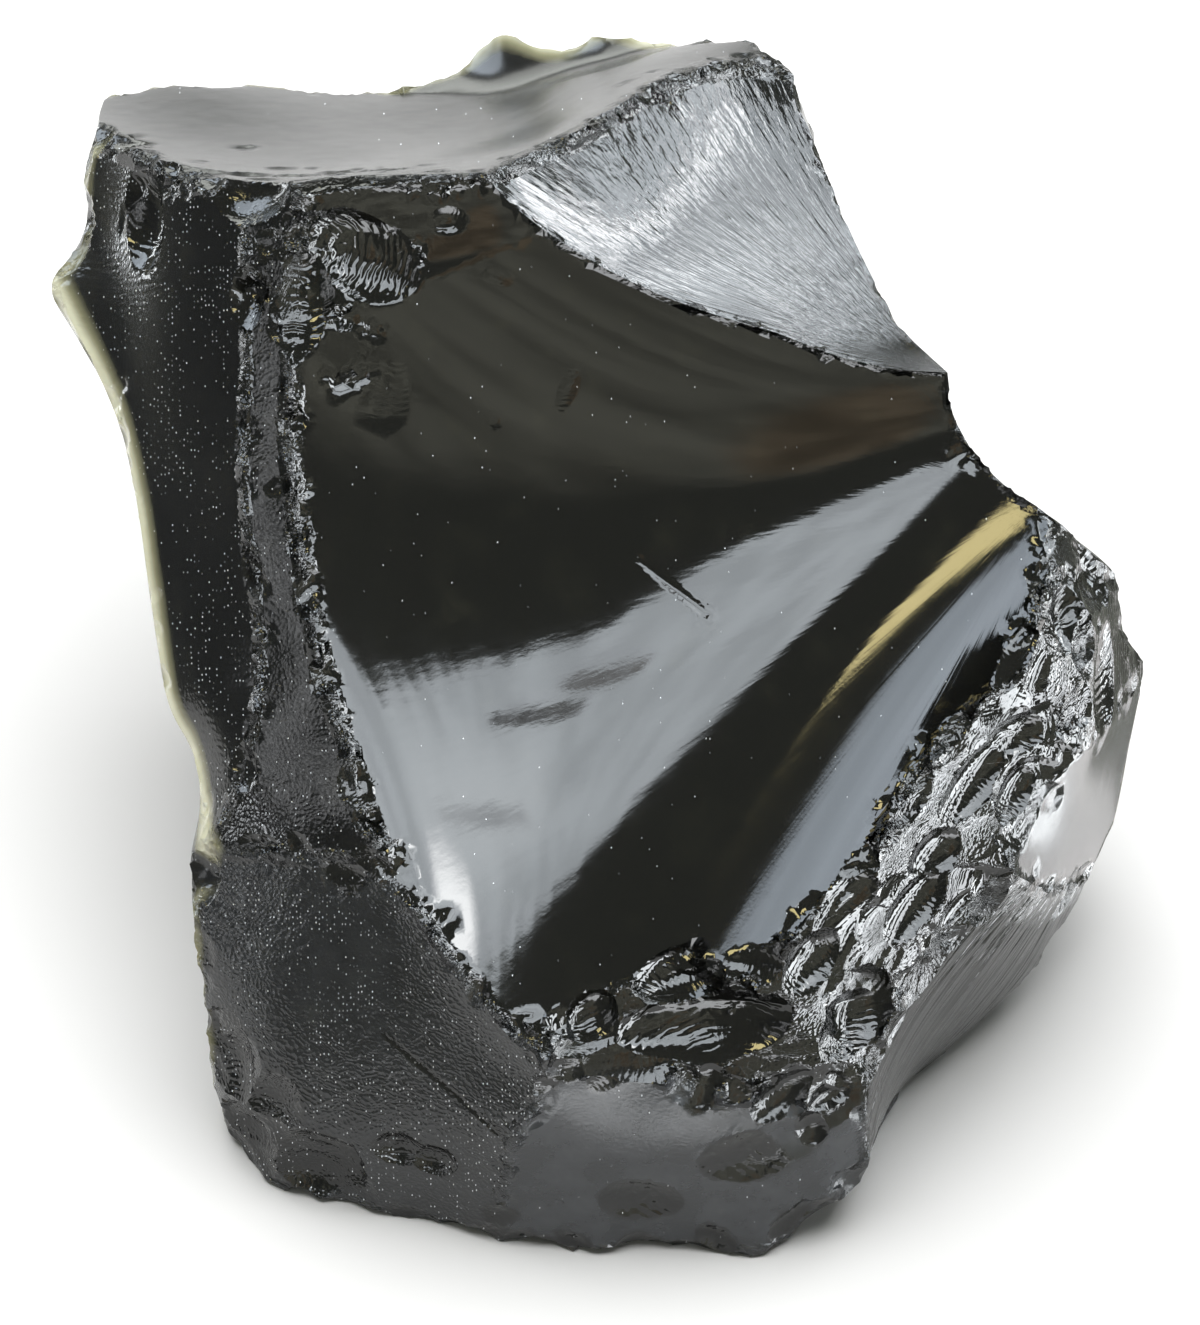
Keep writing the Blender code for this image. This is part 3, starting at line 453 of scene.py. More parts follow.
# Crushed patches of the front: across, up, half width, half height, turn, how many chips,
# and their smallest and largest radius.
PATCHES = {
    "crown_front": (-32.0, 64.8, 14.0, 1.6, 0, 40, 0.7, 1.4),
    "brow_crush": (-60.0, 63.0, 9.0, 2.5, 20, 30, 0.7, 1.6),
    "column_crush": (-44.0, 50.0, 5.0, 9.0, 0, 45, 0.7, 1.9),
    "hollow_crush": (-32.5, 36.5, 5.0, 4.0, 30, 10, 0.5, 1.0),
    "band_low": (12.0, -54.0, 14.0, 3.0, 5, 26, 1.4, 4.2),
    "band_mid": (38.0, -42.0, 12.0, 3.5, 48, 26, 1.4, 4.2),
    "band_high": (60.0, -16.0, 3.5, 9.0, 0, 20, 1.2, 3.6),
    "toe": (-44.0, -71.0, 8.0, 5.0, -20, 24, 1.2, 4.0),
    "shoulder_crush": (66.0, 5.0, 4.0, 6.0, 0, 10, 0.8, 2.0),
    "flute_crush": (9.0, 76.0, 5.0, 2.5, -30, 25, 0.7, 1.5),
}
PATCH_SEED = 23

# How each face looks: its roughness, how dusty it is (on the foot this also paints on a grey
# sheen), how crushed it is all over, how streaked it is, how many bubbles show in it, how
# grainy it is, and how clean it stays beside a crushed edge. All go from 0 to 1, and the
# streaks beyond.
FACE_LOOKS = {
    "hollow": (0.055, 0.0, 0.0, 0.035, 0.03, 0.0, 1.0),
    "crown": (0.25, 0.06, 0.0, 0.3, 0.06, 0.0, 1.0),
    "crown_step": (0.2, 0.06, 0.0, 0.3, 0.0, 0.0, 0.0),
    "flute": (0.12, 0.04, 0.0, 1.0, 0.0, 0.0, 0.3),
    "cheek": (0.16, 0.02, 0.0, 0.05, 0.9, 0.06, 0.0),
    "column": (0.13, 0.01, 0.02, 0.5, 0.5, 0.1, 0.0),
    "lower_left": (0.2, 0.13, 0.0, 0.05, 1.0, 0.24, 0.0),
    # The foot's dust is set high to paint on the grey sheen of what it mirrors.
    "foot": (0.26, 0.26, 0.0, 0.0, 0.05, 0.05, 0.0),
    "band": (0.06, 0.0, 0.2, 0.2, 0.0, 0.0, 0.0),
    "shoulder": (0.1, 0.03, 0.06, 0.2, 0.0, 0.0, 0.0),
    "flank": (0.2, 0.12, 0.0, 0.1, 0.0, 0.0, 0.5),
    "streaks": (0.08, 0.03, 0.0, 2.2, 0.0, 0.0, 0.0),
    "undercut": (0.25, 0.1, 0.1, 0.1, 0.0, 0.1, 0.0),
    "left_wall": (0.2, 0.05, 0.02, 0.15, 0.3, 0.1, 0.0),
    "back_wall": (0.18, 0.04, 0.03, 0.3, 0.1, 0.0, 0.0),
    "right_wall": (0.2, 0.04, 0.03, 0.3, 0.0, 0.0, 0.0),
    "right_foot": (0.25, 0.08, 0.05, 0.2, 0.0, 0.1, 0.0),
    "base": (0.5, 0.5, 0.2, 0.0, 0.0, 0.0, 0.0),
}
LOOK_NAMES = ("roughness", "dust_and_sheen", "crushed", "streaked", "bubbles", "grain", "clean")

# Chips struck over each other crush the glass: how many leave no mark, and what each more
# adds. A clean face keeps this share of the crushing off, and crumbs stick from the last.
LIGHT_BRUISE = 2.0
BRUISE_LOOK = 0.2
CLEAN_SHARE = 0.8
CRUMBLY_LOOK = 0.7
SHARP_ANGLE = math.radians(24.0)
FINE_STEP = 1.0

# Edges crushed to grains: how far that reaches in mm, and how strongly.
CRUSHED_EDGES = {
    "brow": (3.0, 0.9), "brow_gap": (2.5, 0.8), "hollow_top": (2.6, 0.9),
    "flute_top": (2.4, 1.0), "hollow_left": (2.0, 1.0), "hollow_low_left": (1.6, 0.9),
    "hollow_rim": (2.2, 1.0), "foot_top": (2.4, 1.0), "band_low": (1.8, 0.8),
    "band_high": (1.8, 0.8), "shoulder_foot": (1.8, 0.8), "cheek_ridge": (1.2, 0.6),
    "foot_left": (1.4, 0.5), "base_front": (2.0, 0.6), "base_toe": (2.0, 0.5),
    "crest_right": (1.5, 0.6), "left_top": (1.6, 0.6), "neck": (1.2, 0.6),
    "flank_low": (1.0, 0.4), "column_foot": (1.4, 0.4), "low_left_edge": (1.4, 0.5),
    "foot_corner": (1.6, 0.6), "foot_right": (1.4, 0.5), "flute_foot": (0.7, 0.4),
}

# Edges so thin that light comes through them; that light is painted into the colour as a
# glow: how far in mm, and how strongly.
PAINTED_GLOW_EDGES = {
    "left_edge": (3.7, 1.3), "left_top": (2.6, 1.0), "crest_peak": (3.0, 0.9),
    "crest_left": (1.5, 0.6), "low_left_edge": (1.6, 0.7), "flank_back": (0.8, 0.3),
}

# Where broad ripples show: across and up to where the glass was struck, across and up to
# the middle of the ripples, how far they reach, their spacing and their height.
RIPPLES = {
    "foot_arcs": (10.0, -62.0, 20.0, -71.0, 8.0, 2.6, 0.05),
    "foot_arcs_left": (0.0, -70.0, 5.0, -79.5, 6.0, 2.2, 0.04),
}

# The shards of crushed glass: their lie and stretch, how hollow they are, how bent their
# edges are in metres, each size of them with its tilt, and the finest of all.
SHARD_TURN = (0.0, math.radians(42.0), 0.0)
SHARD_STRETCH = (0.4, 1.0, 1.0)
SHARD_DISH = 0.6
SHARD_BEND = 0.0022
SHARD_SIZES = ((4.5, 1.2), (1.7, 0.4))
FINE_SHARD = 0.6
FINE_TILT = 0.35

# Where the lines and rings of a face run out from, square-on: across, up and out.
FACE_HOMES = {
    "flute": (49.0, 37.0, -17.0), "hollow": (62.0, 20.0, -14.0), "streaks": (90.0, 20.0, -20.0),
    "column": (-44.0, 260.0, 0.0), "cheek": (-50.0, 200.0, -30.0), "flank": (90.0, 60.0, -20.0),
    "lower_left": (-52.0, -28.0, -10.0), "foot": (32.0, -56.0, -10.0),
    "shoulder": (64.0, -2.0, -12.0),
}
FAR_HOME = (0.0, 300.0, 0.0)

# How fine the lines of a face are, and the spacing and height of its rings in mm.
PLAIN_FAN = (52.0, 1.0, 0.0)
FACE_FANS = {
    "cheek": (52.0, 1.1, 0.012), "lower_left": (52.0, 2.4, 0.016), "foot": (52.0, 3.2, 0.006),
    "shoulder": (20.0, 1.1, 0.02),
}

# Each level of the streaks: how much coarser than the finest, and how high. Then how fast
# they change along their run, in a metre.
STREAK_LEVELS = ((1.0, 1.0), (4.0, 2.5))
STREAK_RUN = 18.0

# Colours of the glass and of what lies on it (the dust grey also paints a grey sheen on the
# foot), and the painted glow of light through its thinnest edges.
GLASS_BLACK = (0.0024, 0.0024, 0.0021, 1.0)
DUST_AND_SHEEN_GREY = (0.075, 0.080, 0.090, 1.0)
POWDER_GREY = (0.035, 0.036, 0.038, 1.0)
# The glow painted where light comes through a thin edge: olive, then cream where strongest.
PAINTED_GLOW_OLIVE = (0.16, 0.15, 0.09, 1.0)
PAINTED_GLOW_CREAM = (0.44, 0.42, 0.31, 1.0)
BUBBLE_WHITE = (0.45, 0.46, 0.47, 1.0)

# Bubbles in a metre, along a row and from row to row.
BUBBLE_ROWS = (1900.0, 1250.0)

# How many features a metre holds, for each uneven thing in the glass.
BLOTCHES = 160.0
BUBBLE_CROWDS = 110.0
SHEEN_CHANGES = 420.0
SHARD_BENDS = 240.0
RING_WOBBLES = 280.0
GRIT = 2100.0

# The height of the grit in metres where the glass is fully rough, how far rings drift in
# metres, how much the roughness varies, and how much the blotches add to the glow painted
# at a thin edge.
GRIT_HEIGHT = 0.00003
RING_DRIFT = 0.0022
SHEEN_SPREAD = 0.06
PAINTED_GLOW_SPREAD = 0.3

# The splinters: what their scatter is told, and how long, wide and thick one is.
CRUMB_SOCKETS = {"Geometry": "Geometry", "Density": "Float", "Smallest": "Float",
                 "Largest": "Float", "Seed": "Int", "Material": "Material"}
SPLINTER_SHAPE = (1.0, 0.7, 0.4)

# The cards of the studio, on a dome over the lump. Each outline is in degrees from straight
# above: to the right, and to the front. Then the colour, how bright the card is, how far it
# fades inwards from its outline in degrees, and how much nearer than the dome it hangs.
DOME_RADIUS = 9.0
CARDS = {
    "sky": ([(-16, 43), (-15.5, 33), (-14.5, 26), (-13, 20.5), (-10.5, 17.5), (-7, 16), (0, 16),
             (5, 15), (10, 13.5), (16.5, 12), (25, 9.5), (35, 6.5), (45, 3), (54, -4), (66, -10),
             (72, 2), (66, 8), (58, 11), (53.5, 17), (43, 26.5), (34, 32), (26, 35.5),
             (21, 36.5), (18, 39), (12, 43), (4, 46), (-1, 47), (-7, 49), (-13, 48)],
            (0.88, 0.95, 1.0), 8.2, 0.8, 0.0),
    "flute_sky": ([(15, -35), (30, -22), (55, -16), (70, -14), (84, -42), (62, -58), (38, -82),
                   (28, -80), (22, -60)],
                  (0.88, 0.95, 1.0), 8.2, 1.0, 0.0),
    "sky_glow": ([(14, 18), (34, 7), (52, -1), (64, 2), (56, 16), (40, 26), (22, 30)],
                 (0.9, 0.96, 1.0), 11.0, 9.0, 0.1),
    "lamp": ([(37, 8), (42, 2.5), (47, -1), (52, -1), (55, 1.5), (54, 6), (49, 9), (42, 11)],
             (0.97, 0.99, 1.0), 22.0, 3.6, 0.15),
    "strip_near": ([(71, -5), (81, -8), (84, 40), (80, 80), (72, 98), (64, 96), (70, 78),
                    (73, 40)], (0.93, 0.97, 1.0), 16.0, 1.0, 0.1),
    "strip_mid": ([(87, -10), (99, -10), (102, 30), (97, 85), (85, 84), (91, 30)],
                  (0.93, 0.97, 1.0), 16.0, 1.0, 0.1),
    "strip_far": ([(106, -10), (118, -10), (120, 20), (114, 60), (103, 80), (96, 98), (90, 96),
                   (101, 58), (108, 20)], (0.93, 0.97, 1.0), 16.0, 1.0, 0.1),
    "strip_left": ([(-70, -50), (-110, -58), (-112, -65), (-68, -58)],
                   (0.93, 0.97, 1.0), 14.0, 1.0, 0.1),
    "strip_front": ([(-84, 38), (-108, 41), (-108, 47), (-84, 44)],
                    (0.93, 0.97, 1.0), 12.0, 1.0, 0.1),
    "column_glow": ([(-80, 16), (-46, 18), (-41, 34), (-46, 52), (-78, 52)],
                    (0.96, 0.98, 1.0), 2.4, 8.0, 0.1),
    "table": ([(-36, 108), (0, 106), (84, 104), (96, 122), (60, 142), (-20, 142)],
              (0.96, 0.98, 1.0), 7.0, 4.0, 0.0),
    "table_right": ([(100, -125), (98, -80), (103, -46), (150, -48), (160, -90), (130, -130)],
                    (1.0, 0.98, 0.97), 2.3, 3.0, 0.0),
    "strip_low": ([(102, -42), (152, -44), (152, -33), (102, -33)],
                  (0.95, 0.98, 1.0), 14.0, 1.0, 0.0),
    "strip_lower": ([(104, -27), (152, -28), (152, -16), (104, -16)],
                    (0.95, 0.98, 1.0), 14.0, 1.0, 0.0),
    "strip_right": ([(121, -59), (152, -61), (152, -46), (121, -44)],
                    (0.97, 0.98, 1.0), 3.4, 6.0, 0.1),
    "back_glow": ([(-20, -46), (2, -44), (4, -86), (-40, -86), (-46, -68), (-30, -64)],
                  (0.97, 1.0, 0.95), 4.5, 4.0, 0.1),
    "smudge": ([(20, 18), (27, 17.3), (34, 15.3), (41, 12.7), (48, 9.2), (54, 6.5), (48, 11.5),
                (41, 15.4), (34, 18.3), (27, 19.8)], (0.9, 0.95, 1.0), 6.2, 1.4, 0.2),
    "dark_spindle": ([(18, 29), (19.5, 28), (23, 27.4), (29, 26.4), (33, 25.2), (36, 24.2),
                      (33, 26.6), (27, 28.6), (22, 29.5), (19, 29.4)],
                     (1.0, 1.0, 1.0), 1.2, 0.3, 0.2),
    "pale_spindle": ([(12.5, 29.8), (18, 29.9), (24.5, 31), (21, 32), (17, 31.8), (13.5, 31)],
                     (1.0, 1.0, 1.0), 2.2, 0.3, 0.2),
    "window": ([(-60, -26), (-48, -20.5), (-44, -18.2), (-41, -16.2), (-38, -14.5), (-36, -13),
                (-33, -12), (-28, -14), (-24, -30), (-30, -50), (-50, -62), (-66, -50),
                (-70, -34)],
               (0.8, 0.9, 1.0), 6.8, 1.0, 0.0),
    "warm_lamp": ([(-42.5, -13), (-39.5, -11), (-36, -8.2), (-33, -6), (-29.5, -4.2),
                   (-25.2, -1.2), (-25.2, 0.2), (-29, 1.6), (-31, 3.8), (-33, 5.0), (-37, 3),
                   (-38.5, -1.5), (-40.5, -6)],
                  (1.0, 0.86, 0.42), 14.0, 0.3, 0.0),
    "flute_dark": ([(43, -56), (45.5, -45), (45, -35), (48, -27), (52, -19), (54.5, -20),
                    (51.5, -30), (49.5, -40), (48.5, -50), (46, -57)],
                   (0.8, 0.9, 1.0), 3.4, 1.5, 0.15),
    "flute_bright": ([(30, -78), (34, -70), (40, -62), (50, -50), (52, -40), (54.5, -25),
                      (57, -14), (60, -18), (58, -35), (60, -48), (50, -58), (42, -67),
                      (36, -75), (32, -80)], (0.96, 0.98, 1.0), 17.0, 1.5, 0.15),
    "brown_wall": ([(54, 29), (48, 35), (44, 38.5), (37, 44.5), (32, 48), (25, 50.5), (20, 54),
                    (14, 54), (9, 55.5), (4, 58), (-2, 60.5), (-10, 62), (-14, 72), (-12, 88),
                    (-4, 104), (10, 114), (26, 116), (42, 106), (58, 88), (68, 66), (68, 44),
                    (62, 30)],
                   (1.0, 1.0, 0.83), 0.85, 5.0, 0.0),
    "red_wall": ([(-2, 61), (4, 58.5), (9, 56), (15, 54.5), (19, 56), (20, 63), (17, 74),
                  (12, 84), (6, 92), (1, 88), (-2, 77), (-3, 69)],
                 (1.0, 0.80, 0.55), 1.0, 4.0, 0.15),
    "left_wall": ([(-62, 12), (-47, 30), (-30, 48), (-40, 78), (-80, 62), (-110, 20),
                   (-112, -20), (-95, -55), (-76, -35), (-74, -12)],
                  (0.95, 1.0, 0.98), 0.2, 8.0, 0.0),
}
CARD_FACET = 12.0

# How uneven some cards glow, from 0 to 1, and how fine that is. Then the dim room behind.
UNEVEN_CARDS = {"sky": 0.12, "flute_sky": 0.5, "flute_bright": 0.5, "window": 0.1,
                "brown_wall": 0.4, "red_wall": 0.4, "column_glow": 0.9}
UNEVEN_SCALE = 1.2
DARK_ROOM = (0.3, 0.31, 0.27, 1.0)

# The floor: what lies near enough to mirror in the glass, and the pale plain beyond.
FLOOR_NEAR = (-0.2, -0.09, 0.078, 1.5)
FLOOR_FAR = 6.0
FLOOR_DROP = 0.0002
FLOOR_COLOUR = (0.8, 0.8, 0.8, 1.0)

# The lamp that washes the floor: how far back and how high it hangs, and its width.
WASH_BACK = 0.7
WASH_HEIGHT = 1.6
WASH_SIZE = 2.4

# The camera: how far it stands off, the height of what it frames, and its aim below centre.
CAMERA_DISTANCE = 2000.0
FRAME_HEIGHT = 185.5
FRAME_PLANE = -30.0
AIM_DROP = -3.15


def leaned(points):
    """Turn points measured square-on to the hollow into the lump's resting place."""
    across, up, out = np.array(points, dtype=float).T
    back = up * math.sin(LEAN) - out * math.cos(LEAN)
    height = up * math.cos(LEAN) + out * math.sin(LEAN) + CENTRE_HEIGHT
    return np.column_stack([across, back, height])


def smooth_line(points, step):
    """A smooth line through the points, with a point about every step."""
    knots = np.vstack([2 * points[0] - points[1], points, 2 * points[-1] - points[-2]])
    line = [points[0]]
    for before, start, end, after in zip(knots, knots[1:], knots[2:], knots[3:]):
        pieces = max(1, round(np.linalg.norm(end - start) / step))
        for t in np.arange(1, pieces + 1) / pieces:
            line.append(0.5 * (2 * start + (end - before) * t
                               + (2 * before - 5 * start + 4 * end - after) * t ** 2
                               + (3 * start - before - 3 * end + after) * t ** 3))
    return np.array(line)


def make_edges():
    """Every edge as a line of points; ends that meet share the very same point."""
    edges = {name: np.array(points, dtype=float) for name, points in REST_EDGES.items()}
    edges.update({name: leaned(points) for name, points in FRONT_EDGES.items()})
    corners = []
    for points in edges.values():
        for end in (0, -1):
            known = [c for c in corners if np.linalg.norm(c - points[end]) < CORNER_REACH]
            if known:
                points[end] = known[0]
            else:
                corners.append(points[end].copy())
    return {name: smooth_line(points, EDGE_STEP) for name, points in edges.items()}


def walk(loop, edges):
    """The outline of a face, and for each of its points the edge it is on and its place."""
    outline, places = [], []
    for step in loop:
        name = step.lstrip("-")
        order = list(range(len(edges[name])))
        if step.startswith("-"):
            order.reverse()
        if outline and np.linalg.norm(edges[name][order[0]] - outline[-1]) > SAME_PLACE:
            raise ValueError(f"edge {step} doesn't start where the last one ended")
        for index in order[1:] if outline else order:
            outline.append(edges[name][index])
            places.append((name, index))
    if np.linalg.norm(outline[0] - outline[-1]) > SAME_PLACE:
        raise ValueError(f"the loop {loop} isn't closed")
    return np.array(outline[:-1]), places[:-1]


class Sheet:
    """A smooth face over a flat plane: it takes a point of the plane to its height."""

    def __init__(self, outline, inside, slack):
        self.centre = outline.mean(axis=0)
        self.rim_count = len(outline)
        area = np.cross(outline - self.centre, np.roll(outline, -1, axis=0) - self.centre)
        self.up = area.sum(axis=0) / np.linalg.norm(area.sum(axis=0))
        side = outline[len(outline) // 3] - outline[0]
        side -= self.up * side.dot(self.up)
        self.side = side / np.linalg.norm(side)
        self.along = np.cross(self.up, self.side)
        points = np.vstack([outline, inside]) if len(inside) else outline
        self.knots, heights = self.flatten(points)
        count = len(points)
        flat = np.column_stack([np.ones(count), self.knots])
        system = np.zeros((count + 3, count + 3))
        system[:count, :count] = self.bend(self.knots) + np.diag(slack)
        system[:count, count:] = flat
        system[count:, :count] = flat.T
        solved = np.linalg.solve(system, np.append(heights, np.zeros(3)))
        self.weights, self.plane = solved[:count], solved[count:]
        self.powers = []

    def bend(self, spots):
        gaps = spots[:, None, :] - self.knots[None, :, :]
        return np.sqrt((gaps ** 2).sum(axis=2)) ** 3

    def flatten(self, points):
        offset = points - self.centre
        return np.column_stack([offset @ self.side, offset @ self.along]), offset @ self.up

    def even_out(self, order, least_bend):
        """Take the nearest even sweep of that order that is hollow in every direction."""
        grid = triangle_grid(self.knots[:self.rim_count], EVEN_STEP)
        heights = self.heights(grid)
        self.powers = [(a, b) for a in range(order + 1) for b in range(order + 1 - a)]
        shape = self.terms(grid)
        self.curve = np.linalg.lstsq(shape, heights, rcond=None)[0]
        skyward = math.copysign(1.0, self.up[2])
        bends = [skyward * self.bend_terms(grid, turn) for turn in np.arange(8) * math.pi / 8]
        for _ in range(EVEN_ROUNDS):
            rows, wanted = [shape], [heights]
            for terms in bends:
                flat = terms[terms @ self.curve < least_bend]
                rows.append(EVEN_WEIGHT * flat)
                wanted.append(np.full(len(flat), EVEN_WEIGHT * least_bend))
            self.curve = np.linalg.lstsq(np.vstack(rows), np.concatenate(wanted), rcond=None)[0]

    def terms(self, spots):
        """What each power of the sweep adds to the height at each spot."""
        across, along = (spots / EVEN_SCALE).T
        return np.column_stack([across ** a * along ** b for a, b in self.powers])

    def bend_terms(self, spots, turn):
        """What each power adds to the bend, in one direction, at each spot."""
        x, y = (spots / EVEN_SCALE).T
        cos, sin = math.cos(turn) / EVEN_SCALE, math.sin(turn) / EVEN_SCALE
        columns = []
        for a, b in self.powers:
            bend = cos * cos * a * (a - 1) * x ** max(a - 2, 0) * y ** b
            bend += sin * sin * b * (b - 1) * x ** a * y ** max(b - 2, 0)
            bend += 2 * cos * sin * a * b * x ** max(a - 1, 0) * y ** max(b - 1, 0)
            columns.append(bend)
        return np.column_stack(columns)

    def heights(self, spots):
        if self.powers:
            return self.terms(spots) @ self.curve
        return self.bend(spots) @ self.weights + self.plane[0] + spots @ self.plane[1:]

    def raise_up(self, spots):
        """Lift points of the plane onto the face."""
        return (self.centre + np.outer(spots[:, 0], self.side)
                + np.outer(spots[:, 1], self.along) + np.outer(self.heights(spots), self.up))


def inner_points(face):
    """A face's own points away from its edges, as the lump lies."""
    if face.get("inside"):
        return leaned(face["inside"])
    return np.array(face.get("inside_at_rest", []), dtype=float).reshape(-1, 3)


def settle_faces(edges):
    """Make every face's sheet, and let the edges that no earlier face has settled follow."""
    settled = set()
    sheets = {}
    for name, face in FACES.items():
        outline, places = walk(face["loop"], edges)
        inside = inner_points(face)
        held = [place in settled or edge_end(place, edges) for place in places]
        slack = [0.0 if fixed else face["stiffness"] for fixed in held]
        sheet = Sheet(outline, inside, slack + [face["stiffness"]] * len(inside))
        if name in EVEN_FACES:
            sheet.even_out(*EVEN_FACES[name])
        spots, _ = sheet.flatten(outline)
        lifted = sheet.raise_up(spots)
        for (edge, index), fixed, point in zip(places, held, lifted):
            if name in EVEN_FACES or not fixed:
                move_point(edges, edge, index, point)
            settled.add((edge, index))
        sheets[name] = sheet
    return sheets


def move_point(edges, edge, index, point):
    """Move a point of an edge, and with it every edge end that is at the same place."""
    was = edges[edge][index].copy()
    for line in edges.values():
        for end in (0, -1):
            if np.abs(line[end] - was).max() < SAME_PLACE:
                line[end] = point
    edges[edge][index] = point


def edge_end(place, edges):
    """Corners stay where they are, whatever faces meet there."""
    return place[1] in (0, len(edges[place[0]]) - 1)


def inside_outline(spots, outline):
    """Which spots are inside a flat outline."""
    result = np.zeros(len(spots), dtype=bool)
    for (x1, y1), (x2, y2) in zip(outline, np.roll(outline, -1, axis=0)):
        crosses = (y1 > spots[:, 1]) != (y2 > spots[:, 1])
        rise = np.where(crosses, y2 - y1, 1.0)
        result ^= crosses & (spots[:, 0] < (x2 - x1) * (spots[:, 1] - y1) / rise + x1)
    return result


def gap_to_line(spots, line):
    """How far each spot is from the nearest stretch of an open line."""
    nearest = np.full(len(spots), np.inf)
    for start, end in zip(line[:-1], line[1:]):
        run = end - start
        t = np.clip((spots - start) @ run / run.dot(run), 0.0, 1.0)
        nearest = np.minimum(nearest, ((spots - start - t[:, None] * run) ** 2).sum(axis=1))
    return np.sqrt(nearest)


def triangle_grid(outline, step):
    """Rows of points, step apart, inside the outline."""
    low, high = outline.min(axis=0), outline.max(axis=0)
    rows = np.arange(low[1], high[1], step * math.sqrt(0.75))
    columns = np.arange(low[0], high[0], step)
    across = columns[None, :] + 0.5 * step * (np.arange(len(rows)) % 2)[:, None]
    up = np.repeat(rows[:, None], len(columns), axis=1)
    spots = np.column_stack([across.ravel(), up.ravel()])
    return spots[inside_outline(spots, outline)]


def square_on(points):
    """Points of the lump as seen square-on to the hollow: across and up it."""
    up = points[:, 1] * math.sin(LEAN) + (points[:, 2] - CENTRE_HEIGHT) * math.cos(LEAN)
    return np.column_stack([points[:, 0], up])


def wanted_grain(name, sheet, edges, spots):
    """How fine the facets should be at each spot of a face: finer at its edges and scars."""
    grain = np.full(len(spots), FACE_GRAIN[name])
    for edge in FACES[name]["loop"]:
        edge = edge.lstrip("-")
        step, reach = EDGE_GRAIN.get(edge, HIDDEN_EDGE)
        gap = gap_to_line(spots, sheet.flatten(edges[edge])[0])
        grain = np.minimum(grain, step + GRADING * np.maximum(gap - reach, 0.0))
    lifted = sheet.raise_up(spots)
    if name in REAR_FACES:
        for near, radius, _, stretch, _ in REAR_SCARS.values():
            gap = np.linalg.norm(lifted - near, axis=1) - radius * stretch * SCAR_ROOM
            grain = np.minimum(grain, REAR_SCAR_GRAIN + GRADING * np.maximum(gap, 0.0))
        return grain
    seen = square_on(lifted)
    for across, up, radius, _, stretch, *_ in [*SCARS.values(), *SHELLS.values()]:
        gap = np.linalg.norm(seen - (across, up), axis=1) - radius * stretch * SCAR_ROOM
        fine = min(SCAR_GRAIN, SHELL_GRAIN * radius)
        grain = np.minimum(grain, fine + GRADING * np.maximum(gap, 0.0))
    return grain


def graded_grid(name, sheet, outline, edges):
    """Points inside a face: a dense grid where its grain is fine, a sparse one elsewhere."""
    chosen = []
    for step, coarser in zip(GRAIN_LADDER, GRAIN_LADDER[1:] + (math.inf,)):
        if step > FACE_GRAIN[name]:
            break
        spots = triangle_grid(outline, step)
        grain = wanted_grain(name, sheet, edges, spots)
        finest = step if step > GRAIN_LADDER[0] else 0.0
        kept = (grain >= finest) & (grain < coarser)
        spots, grain = spots[kept], grain[kept]
        gap = gap_to_line(spots, np.vstack([outline, outline[:1]]))
        chosen.append(spots[gap > 0.55 * np.maximum(grain, step)])
    return np.vstack(chosen)


def fill_face(name, sheet, edges, fine_edges):
    """The points of one face, outline first, and its triangles."""
    outline, _ = walk(FACES[name]["loop"], fine_edges)
    flat, _ = sheet.flatten(outline)
    grid = graded_grid(name, sheet, flat, edges)
    spots = np.vstack([flat, grid])
    places = np.vstack([outline, sheet.raise_up(grid)])
    ring = list(range(len(outline)))
    _, _, triangles, origins, _, _ = delaunay_2d_cdt(
        [Vector(spot) for spot in spots], [], [ring], 1, 1e-6)
    first = np.array([origin[0] for origin in origins])
    return places, first[np.array(triangles)]


def make_patchwork():
    """All faces joined into one closed skin: points, triangles and the face each is of."""
    edges = make_edges()
    sheets = settle_faces(edges)
    fine_edges = {name: smooth_line(line, EDGE_GRAIN.get(name, HIDDEN_EDGE)[0])
                  for name, line in edges.items()}
    for name in EVEN_FACES:
        for edge in {edge.strip("-") for edge in FACES[name]["loop"]}:
            flat, _ = sheets[name].flatten(fine_edges[edge])
            fine_edges[edge] = sheets[name].raise_up(flat)
    points, triangles, owners, count = [], [], [], 0
    for number, (name, sheet) in enumerate(sheets.items()):
        places, corners = fill_face(name, sheet, edges, fine_edges)
        points.append(places)
        triangles.append(corners + count)
        owners.append(np.full(len(corners), number))
        count += len(places)
    points = np.vstack(points)
    _, kept, merged = np.unique(np.round(points, 4), axis=0, return_index=True,
                                return_inverse=True)
    triangles = merged.ravel()[np.vstack(triangles)]
    return edges, points[kept], triangles, np.concatenate(owners)


